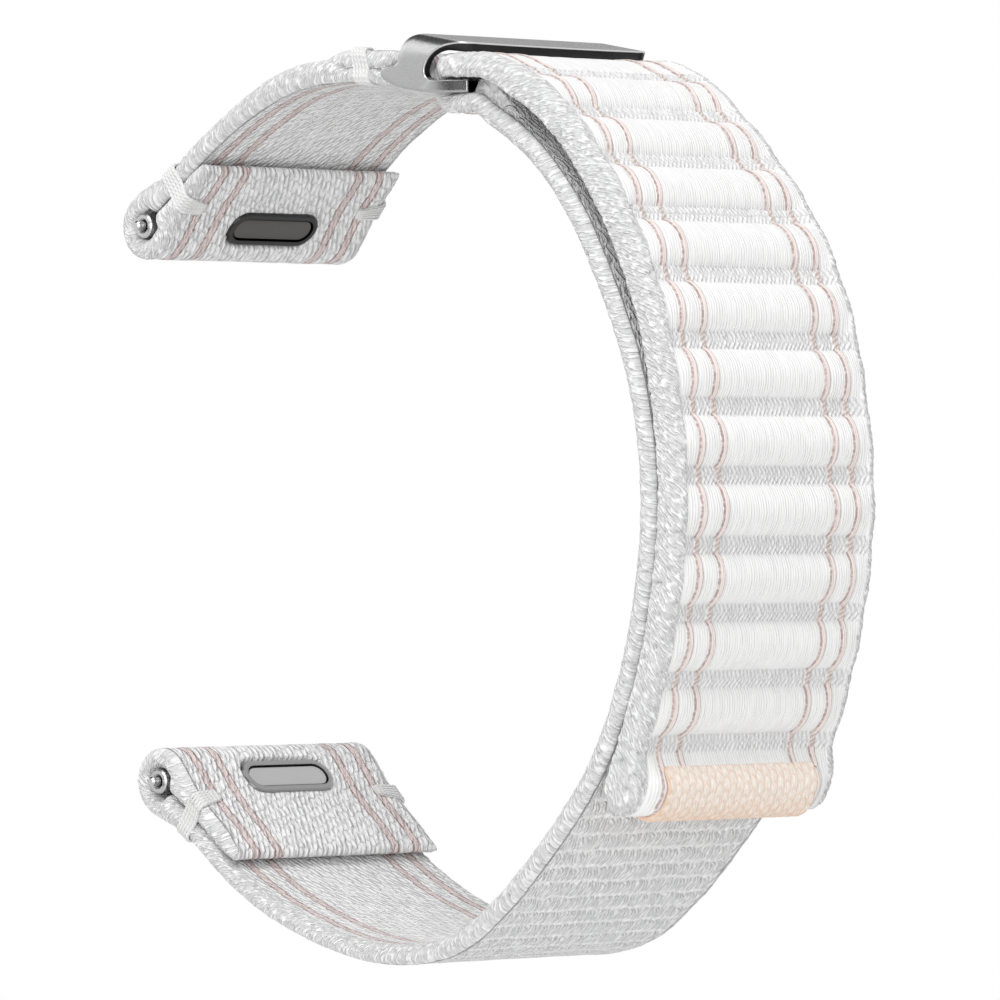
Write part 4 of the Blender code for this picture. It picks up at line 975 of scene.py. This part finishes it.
def strap_layers(lug):
    """Angle, and radii of the wrist face and the outer face, at a distance from a lug's bar."""
    radius_at, bar, bar_angle, turn = lug

    def layers(distance):
        angle = bar_angle + turn * math.degrees(distance / np.linalg.norm(bar))
        settle = 1 - ease(distance / SETTLE)
        drop = (WRAP + SETBACK - FLAP_STEP) * settle
        outer = radius_at(angle) + (WRAP - SETBACK) * settle + RIBBON / 2
        return angle, radius_at(angle) - FLAP_STEP - drop - RIBBON / 2, outer
    return layers


def buckle_layers(distance):
    angle = REAR_ANGLE + math.degrees(distance / REAR_DISTANCE)
    reach = short_offset(distance) + FOLDED / 2
    return angle, short_middle(angle) - reach, short_middle(angle) + reach


def stitch_place(t, width, inner, outer, reach):
    """Y and radius at a share t of a stitch's way round the edge."""
    corner, lift = STITCH_CORNER, STITCH_LIFT
    face, side = reach - corner, outer - inner - 2 * corner
    bend = corner * math.pi / 2
    ends = np.cumsum([face, bend, side, bend, 0.6 * face])
    x = t * ends[-1]
    if x < ends[0]:
        return width - reach + x, inner - lift
    if x < ends[1]:
        a = (x - ends[0]) / corner
        return (width - corner + (corner + lift) * math.sin(a),
                inner + corner - (corner + lift) * math.cos(a))
    if x < ends[2]:
        u = (x - ends[1]) / side
        return width + lift - 0.16 * math.sin(math.pi * u), inner + corner + u * side
    if x < ends[3]:
        a = (x - ends[2]) / corner
        return (width - corner + (corner + lift) * math.cos(a),
                outer - corner + (corner + lift) * math.sin(a))
    return width - corner - (x - ends[3]), outer + lift


def whip_stitch(name, layers, first, last, reach, sign, material):
    """Threads sewn round both layers at one edge, from the wrist face over the edge."""
    paths = []
    for k in range(STITCHES):
        spread = (k - (STITCHES - 1) / 2) * 1.7 * THREAD_RADIUS
        path = []
        for t in np.linspace(0, 1, 33):
            bunch = 0.55 + 0.6 * math.sin(math.pi * t)
            angle, inner, outer = layers(first + (last - first) * t + spread * bunch)
            y, radius = stitch_place(t, half_width(angle), inner, outer, reach)
            sink = 0.4 * (1 - min(1.0, min(t, 1 - t) / 0.05))
            p = polar(radius + (sink if t < 0.5 else -sink), angle)
            path.append((p[0], sign * y, p[1]))
        paths.append(path)
    return tubes(name, paths, THREAD_RADIUS, 9, material)


def build_stitches(material):
    lug_span = (TACK_ALONG + 0.35, TACK_ALONG + 1.5, TACK_REACH)
    buckle_span = (BUCKLE_TACK_ALONG + 0.5, BUCKLE_TACK_ALONG + 0.9, BUCKLE_TACK_REACH)
    seams = (("lower", strap_layers(LOWER_LUG), lug_span, "long_strap"),
             ("upper", strap_layers(UPPER_LUG), lug_span, "short_strap"),
             ("buckle", buckle_layers, buckle_span, "short_strap"))
    for side, sign in (("near", -1), ("far", 1)):
        for seam, layers, span, body in seams:
            tack = whip_stitch(f"{seam}_stitches_{side}", layers, *span, sign, material)
            stand_for(tack, f"{seam}_tack_{side}", body)


# Materials

class Nodes:
    """A node tree whose nodes are written as short calls."""

    def __init__(self, tree):
        self.tree = tree

    def new(self, kind, **settings):
        node = self.tree.nodes.new("ShaderNode" + kind)
        for name, value in settings.items():
            setattr(node, name, value)
        return node

    def link(self, value, socket):
        if hasattr(value, "is_linked"):
            self.tree.links.new(value, socket)
        else:
            socket.default_value = value

    def math(self, operation, *values):
        node = self.new("Math", operation=operation)
        for value, socket in zip(values, node.inputs):
            self.link(value, socket)
        return node.outputs[0]

    def add(self, a, b):
        return self.math("ADD", a, b)

    def times(self, a, b):
        return self.math("MULTIPLY", a, b)

    def power(self, a, b):
        return self.math("POWER", a, b)

    def absolute(self, a):
        return self.math("ABSOLUTE", a)

    def weighed(self, a, share, b, other):
        return self.add(self.times(a, share), self.times(b, other))

    def within(self, a):
        """Place in a cell of length one, from its middle."""
        return self.add(self.math("FRACT", a), -0.5)

    def wave(self, a):
        """A cosine's swing, from 0 to 1, once for each unit."""
        return self.add(self.times(self.math("COSINE", self.times(a, math.tau)), 0.5), 0.5)

    def ramp(self, a, low, high, start=0.0, finish=1.0):
        """Smooth step from start to finish as a goes from low to high."""
        node = self.new("MapRange", interpolation_type="SMOOTHSTEP")
        names = ("Value", "From Min", "From Max", "To Min", "To Max")
        for name, value in zip(names, (a, low, high, start, finish)):
            self.link(value, node.inputs[name])
        return node.outputs[0]

    def band(self, a, centre, reach, soft):
        """One within reach of centre, falling to zero over soft."""
        return self.ramp(self.absolute(self.add(a, -centre)), reach, reach + soft, 1.0, 0.0)

    def scaled(self, vector, factors):
        node = self.new("VectorMath", operation="MULTIPLY")
        self.link(vector, node.inputs[0])
        self.link(factors, node.inputs[1])
        return node.outputs[0]

    def place(self):
        """Way along, way across and relief, as the mesh keeps them."""
        kept = self.new("Attribute", attribute_name="weave").outputs["Vector"]
        parts = self.new("SeparateXYZ")
        self.link(kept, parts.inputs[0])
        self.vector = self.scaled(kept, (1.0, 1.0, 0.0))
        return parts.outputs[0], parts.outputs[1], parts.outputs[2]

    def noise(self, scale, detail=2.0, vector=None):
        node = self.new("TexNoise")
        self.link(scale, node.inputs["Scale"])
        self.link(detail, node.inputs["Detail"])
        self.link(self.vector if vector is None else vector, node.inputs["Vector"])
        return node.outputs["Fac"]

    def sway(self, scale, detail, amount):
        """Noise about zero."""
        return self.times(self.add(self.noise(scale, detail), -0.5), amount)

    def mix(self, share, a, b):
        node = self.new("Mix", data_type="RGBA")
        self.link(share, node.inputs[0])
        for value, socket in ((a, node.inputs[6]), (b, node.inputs[7])):
            self.link((*value, 1.0) if isinstance(value, tuple) else value, socket)
        return node.outputs[2]

    def turned(self, s, y, degrees, long, wide):
        """Places in a thread's lengths and widths, along and across a slant from the Y axis."""
        a = math.radians(degrees)
        u = self.times(self.weighed(y, math.cos(a), s, math.sin(a)), 1 / long)
        v = self.times(self.weighed(s, math.cos(a), y, -math.sin(a)), 1 / wide)
        return u, v

    def streaks(self, s, y, degrees, long, wide):
        """Irregular fine threads that run one way, from 0 to 1."""
        pair = self.new("CombineXYZ")
        for value, socket in zip(self.turned(s, y, degrees, long, wide), pair.inputs):
            self.link(value, socket)
        return self.ramp(self.noise(1.0, 1.5, pair.outputs[0]), 0.36, 0.64)

    def strokes(self, s, y, degrees, long, wide, jitter, crowd):
        """Short raised dashes in staggered rows, turned by an angle from the Y axis."""
        warp = self.sway(1.3, 2.0, jitter)
        u, v = self.turned(s, y, degrees, long, wide)
        v = self.add(v, warp)
        u = self.add(self.add(u, self.times(self.math("FLOOR", v), 0.45)), warp)
        round_u, round_v = (self.power(self.absolute(self.times(self.within(x), 2.0)), steep)
                            for x, steep in ((u, 3.0), (v, 2.0)))
        fall = self.times(self.add(round_u, round_v), -crowd)
        return self.math("MAXIMUM", self.add(1.0, fall), 0.0)


def grey(tone, blue=0.0):
    return (tone, tone, tone + blue)


def principled(name, colour, roughness, metallic=0.0):
    material = bpy.data.materials.new(name)
    material.use_nodes = True
    m = Nodes(material.node_tree)
    m.material, m.inputs = material, m.tree.nodes["Principled BSDF"].inputs
    m.inputs["Base Color"].default_value = (*colour, 1.0)
    m.inputs["Roughness"].default_value = roughness
    m.inputs["Metallic"].default_value = metallic
    return m


def finished(m, colour, height, distance):
    """The material, with a node each for its colour and for its fine relief."""
    bump = m.new("Bump")
    bump.inputs["Distance"].default_value = distance * MM
    m.link(height, bump.inputs["Height"])
    m.link(bump.outputs[0], m.inputs["Normal"])
    m.link(colour, m.inputs["Base Color"])
    return m.material


def stripes(m, y, base, centres, fill, line, half, waver, cover=0.9, edge=0.04):
    """Pairs of thin dark cords with a pale filling, on both sides of the middle."""
    away = m.add(m.absolute(y), m.sway(2.6, 3.0, waver * 4))
    patchy = m.ramp(m.noise(4.0), 0.35, 0.6, 0.45, 1.0)
    colour = base
    for centre in centres:
        colour = m.mix(m.times(m.band(away, centre, half, 0.07), cover), colour, fill)
    for centre in centres:
        for side in (-1, 1):
            cord = m.band(away, centre + side * half, edge, 0.06)
            colour = m.mix(m.times(cord, patchy), colour, line)
    return colour


def cloth(name, roughness=0.9):
    m = principled(name, WHITE, roughness)
    m.inputs["Specular IOR Level"].default_value = 0.25
    m.inputs["Sheen Weight"].default_value = 0.12
    m.inputs["Sheen Roughness"].default_value = 0.5
    return (m, *m.place())


def weave_material():
    """Plain side of the ribbon: short slanting threads that lie nearly along it."""
    m, s, y, relief = cloth("woven_white_plain")
    long_threads = m.streaks(s, y, 74, 1.25, 0.34)
    short_threads = m.strokes(s, y, 66, 1.15, 0.48, 0.9, 0.9)
    h = m.weighed(long_threads, 0.4, short_threads, 0.6)
    # Darker between the raised threads: painted shade in the gaps
    base = m.mix(m.power(h, 0.7), grey(0.58, 0.01), grey(0.94, -0.003))
    # Painted shade where the relief is low, between the selvedge loops and the rows beside them
    base = m.mix(m.power(relief, 0.6), PAINTED_SHADE, base)
    fill, line = (0.70, 0.57, 0.55), (0.30, 0.21, 0.20)
    colour = stripes(m, y, base, STRIPES_RUN, fill, line, CORD_HALF, 0.11, 0.8)
    return finished(m, colour, m.add(h, m.times(m.noise(7.0, 3.0), 0.35)), 0.3)


def selvedge_material():
    m, s, y, relief = cloth("woven_white_selvedge")
    threads = m.streaks(s, y, 42, 0.75, 0.2)
    base = m.mix(threads, grey(0.64, 0.005), grey(0.86))
    # Painted shade where the relief is low, between the loops
    colour = m.mix(m.power(relief, 0.8), grey(0.42, 0.01), base)
    return finished(m, colour, m.add(threads, m.times(m.noise(6.0, 3.0), 0.5)), 0.13)


def pile_material():
    """Rows of slanting curved loops that the hooks hold on to."""
    m, s, y, relief = cloth("woven_white_pile")
    warp = m.sway(0.7, 2.0, 1.3)
    f = m.within(m.weighed(s, 1 / PILE_ROW, warp, 0.35))
    bend = m.weighed(f, 0.8, m.times(f, f), 1.7)
    u = m.add(m.add(m.times(y, 1 / PILE_LOOP), bend), warp)
    tall = m.ramp(m.absolute(f), 0.30, 0.48, 1.0, 0.0)
    crest = m.times(m.power(m.wave(u), 2.0), tall)
    shadow = m.times(m.power(m.wave(m.add(u, 0.3)), 4.0), tall)
    fuzz = m.streaks(s, y, 62, 0.75, 0.2)
    base = m.mix(fuzz, grey(0.78, 0.005), grey(0.92))
    # Painted highlight on the loops' crests, and painted shadow along one side of each loop
    base = m.mix(m.times(crest, 0.8), base, grey(0.95))
    colour = m.mix(m.times(shadow, 0.5), base, PAINTED_SHADE)
    return finished(m, colour, m.weighed(crest, 1.3, fuzz, 0.55), 0.2)


def cushion_material():
    """Ribbed side: fine threads along the cushions, and sewn channels between them."""
    m, s, y, relief = cloth("woven_white_cushion")
    threads = m.wave(m.add(m.times(y, 1 / 0.27), m.sway(1.1, 2.0, 0.9)))
    fine = m.streaks(s, y, 87, 2.4, 0.17)
    base = m.mix(m.weighed(threads, 0.6, fine, 0.4), grey(0.80), grey(0.88, -0.005))
    # Painted shade where the relief is low: in the sewn channels, on the twisted cords there and
    # between the selvedge loops
    base = m.mix(m.power(relief, 0.8), grey(0.56, 0.01), base)
    fill, line = (0.82, 0.72, 0.69), (0.41, 0.31, 0.29)
    cushions = stripes(m, y, base, STRIPES_TAIL, fill, line, 0.27, 0.035, 0.9, 0.05)
    twist = m.wave(m.weighed(s, 1 / 0.36, y, 1.5))
    cord = m.mix(twist, (0.50, 0.41, 0.38), (0.74, 0.65, 0.62))
    away = m.add(m.absolute(y), m.sway(2.6, 3.0, 0.3))
    sewn = base
    for centre in STRIPES_TAIL:
        sewn = m.mix(m.band(away, centre, 0.22, 0.08), sewn, cord)
    channel = m.ramp(m.wave(m.times(s, 1 / RIB_LENGTH)), 0.86, 0.94)
    colour = m.mix(channel, cushions, sewn)
    return finished(m, colour, m.add(threads, m.times(fine, 0.8)), 0.03)


def metal_material(name, colour, roughness, worn=1.25):
    """Satin metal with fine grain and paler rubbed edges."""
    m = principled(name, colour, roughness, 1.0)
    m.vector = m.new("TexCoord").outputs["Object"]
    lines = m.noise(900.0, 4.0, m.scaled(m.vector, (1.0, 40.0, 40.0)))
    pointed = m.new("NewGeometry").outputs["Pointiness"]
    rubbed = m.times(m.ramp(pointed, 0.51, 0.60), 0.8)
    pale = tuple(min(1.0, c * worn) for c in colour)
    shade = tuple(c * 0.9 for c in colour)
    m.link(m.add(m.times(lines, 0.22), roughness - 0.11), m.inputs["Roughness"])
    colour = m.mix(rubbed, m.mix(m.noise(260.0, 3.0), shade, colour), pale)
    return finished(m, colour, lines, 0.004)


def tab_material():
    m, s, y, relief = cloth("woven_peach_tab")
    fine = m.streaks(s, y, 80, 0.5, 0.13)
    # Darker ground and dashes at the tab's edges, painted shade where it wraps; also darker further
    # along it, from 2.2 to 4.9 mm
    low = m.math("MAXIMUM", m.ramp(s, 2.2, 4.9), m.ramp(m.absolute(y), 7.6, 8.15))
    ground = m.mix(low, (0.80, 0.58, 0.45), (0.70, 0.41, 0.26))
    pale = m.mix(fine, (0.85, 0.75, 0.66), (0.91, 0.85, 0.79))
    deep = m.mix(fine, (0.78, 0.59, 0.46), (0.86, 0.73, 0.62))
    colour = m.mix(m.power(relief, 0.45), ground, m.mix(low, pale, deep))
    return finished(m, colour, fine, 0.04)


def thread_material():
    m, s, y, relief = cloth("sewing_thread", 0.7)
    ply = m.wave(m.weighed(s, 1 / 0.42, y, 1 / 0.53))
    fine = m.noise(9.0, 3.0)
    colour = m.mix(m.weighed(ply, 0.6, fine, 0.5), grey(0.62), grey(0.77, -0.005))
    return finished(m, colour, m.add(ply, fine), 0.04)


def hook_material():
    m = principled("hook_tape", grey(0.88), 0.5)
    m.place()
    fine = m.noise(5.0, 3.0)
    return finished(m, m.mix(fine, grey(0.80), grey(0.93)), fine, 0.02)


def paint(node, material):
    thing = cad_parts[node]
    thing.data.materials.clear()
    thing.data.materials.append(material)


def paint_hardware(gunmetal):
    steel = metal_material("steel_polished", grey(0.45), 0.22)
    black = metal_material("bezel_black", grey(0.036, 0.001), 0.3, worn=2.2)
    dark = metal_material("button_dark", (0.08, 0.076, 0.072), 0.3, worn=2.0)
    silver = metal_material("button_silver", grey(0.45), 0.36)
    bezel = metal_material("bezel_grey", grey(0.30), 0.32)
    for lug, case, button in (("lower", bezel, silver), ("upper", black, dark)):
        paint(lug + "_bar_tube", gunmetal)
        paint(lug + "_release_case", case)
        paint(lug + "_button", button)
        for part in ("_pin_spring", "_pin_near", "_pin_far"):
            paint(lug + part, steel)


# Stage

def aim(thing, place, way, axis="-Z"):
    thing.location = place
    thing.rotation_mode = "QUATERNION"
    thing.rotation_quaternion = way.to_track_quat(axis, "Y")


def make_camera():
    """Level, 44.7 degrees round from -Y, at the photograph's distance and framing."""
    turn = math.radians(44.7)
    picture_px, focal_px, px_per_mm = 1000, 8390.0, 13.0
    left_px, up_px = 20, 5
    right = Vector((math.cos(turn), math.sin(turn), 0.0))
    view = Vector((-math.sin(turn), math.cos(turn), 0.0))
    place = (-view * (focal_px / px_per_mm) + right * (left_px / px_per_mm)
             + Vector((0.0, 0.0, up_px / px_per_mm)))
    data = bpy.data.cameras.new("camera")
    data.sensor_width = 36.0
    data.lens = 36.0 * focal_px / picture_px
    data.clip_start, data.clip_end = 0.01, 20.0
    camera = add_object("camera", data)
    aim(camera, (place - Vector(ORIGIN)) * MM, view)
    bpy.context.scene.camera = camera


def area_light(name, place, target, size, power):
    data = bpy.data.lights.new(name, "AREA")
    data.shape = "DISK"
    data.size = size
    data.energy = power
    aim(add_object(name, data), place, Vector(target) - Vector(place))


def make_sheet(name, size, coat, tone):
    """Rectangle about its own middle, which the camera doesn't see."""
    mesh = bpy.data.meshes.new(name)
    x, y = size[0] / 2, size[1] / 2
    mesh.from_pydata([(-x, -y, 0), (x, -y, 0), (x, y, 0), (-x, y, 0)], [], [(0, 1, 2, 3)])
    mesh.materials.append(principled(coat, grey(tone), 0.9).material)
    sheet = add_object(name, mesh)
    sheet.visible_camera = False
    return sheet


def make_card(name, place, size, tone=0.02):
    """Dark card beside the object, turned to it, which only metal faces reflect."""
    card = make_sheet(name, size, name + "_tone", tone)
    aim(card, place, Vector(place), "Z")
    card.visible_diffuse = card.visible_shadow = False


def make_floor():
    floor = make_sheet("floor", (1.0, 1.0), "floor_pale", 0.85)
    floor.location.z = -0.062


def make_world(ambient):
    """White where it is seen straight, in metal or through glass, and a soft grey elsewhere."""
    world = bpy.data.worlds.new("studio")
    bpy.context.scene.world = world
    world.use_nodes = True
    m = Nodes(world.node_tree)
    rays = m.new("LightPath").outputs
    seen = rays["Is Camera Ray"]
    for ray in ("Is Glossy Ray", "Is Transmission Ray"):
        seen = m.math("MAXIMUM", seen, rays[ray])
    background = m.tree.nodes["Background"].inputs
    background["Color"].default_value = (1.0, 1.0, 1.0, 1.0)
    m.link(m.ramp(seen, 0.0, 1.0, ambient, 1.0), background["Strength"])


def make_studio():
    make_camera()
    make_world(0.69)
    area_light("key", (0.25, -0.35, 0.85), (0, 0, 0.02), 0.5, 3.9)
    area_light("front", (0.45, -0.6, 0.1), (0, 0, 0.02), 0.5, 1.75)
    area_light("fill", (-0.65, -0.45, 0.42), (0, 0, 0.0), 0.6, 1.1)
    make_card("card", (0.45, 0.45, 0.03), (0.5, 0.3))
    make_card("card_front", (0.06, -0.6, 0.05), (0.44, 0.7))
    make_card("card_shoulder", (-0.37, -0.02, 0.445), (0.7, 0.42))
    make_card("card_top", (-0.37, 0.45, 0.19), (0.5, 0.24), 0.42)
    make_floor()


def build():
    make_studio()
    build_cloth(weave_material(), selvedge_material(), pile_material(), cushion_material())
    build_tab(tab_material())
    build_patch(hook_material())
    build_stitches(thread_material())
    gunmetal = metal_material("gunmetal_brushed", grey(0.42, 0.005), 0.28)
    # Paler rim metal is a painted highlight on the mouth's bevel; near black metal is painted shade
    # in the buckle's mouth, under it and on its front bar
    rim = metal_material("gunmetal_painted_highlight", grey(0.66), 0.3)
    inside = metal_material("gunmetal_painted_shade", grey(0.045, 0.002), 0.3)
    build_buckle(gunmetal, rim, inside)
    paint_hardware(gunmetal)


build()
bpy.context.scene.view_settings.view_transform = "Standard"
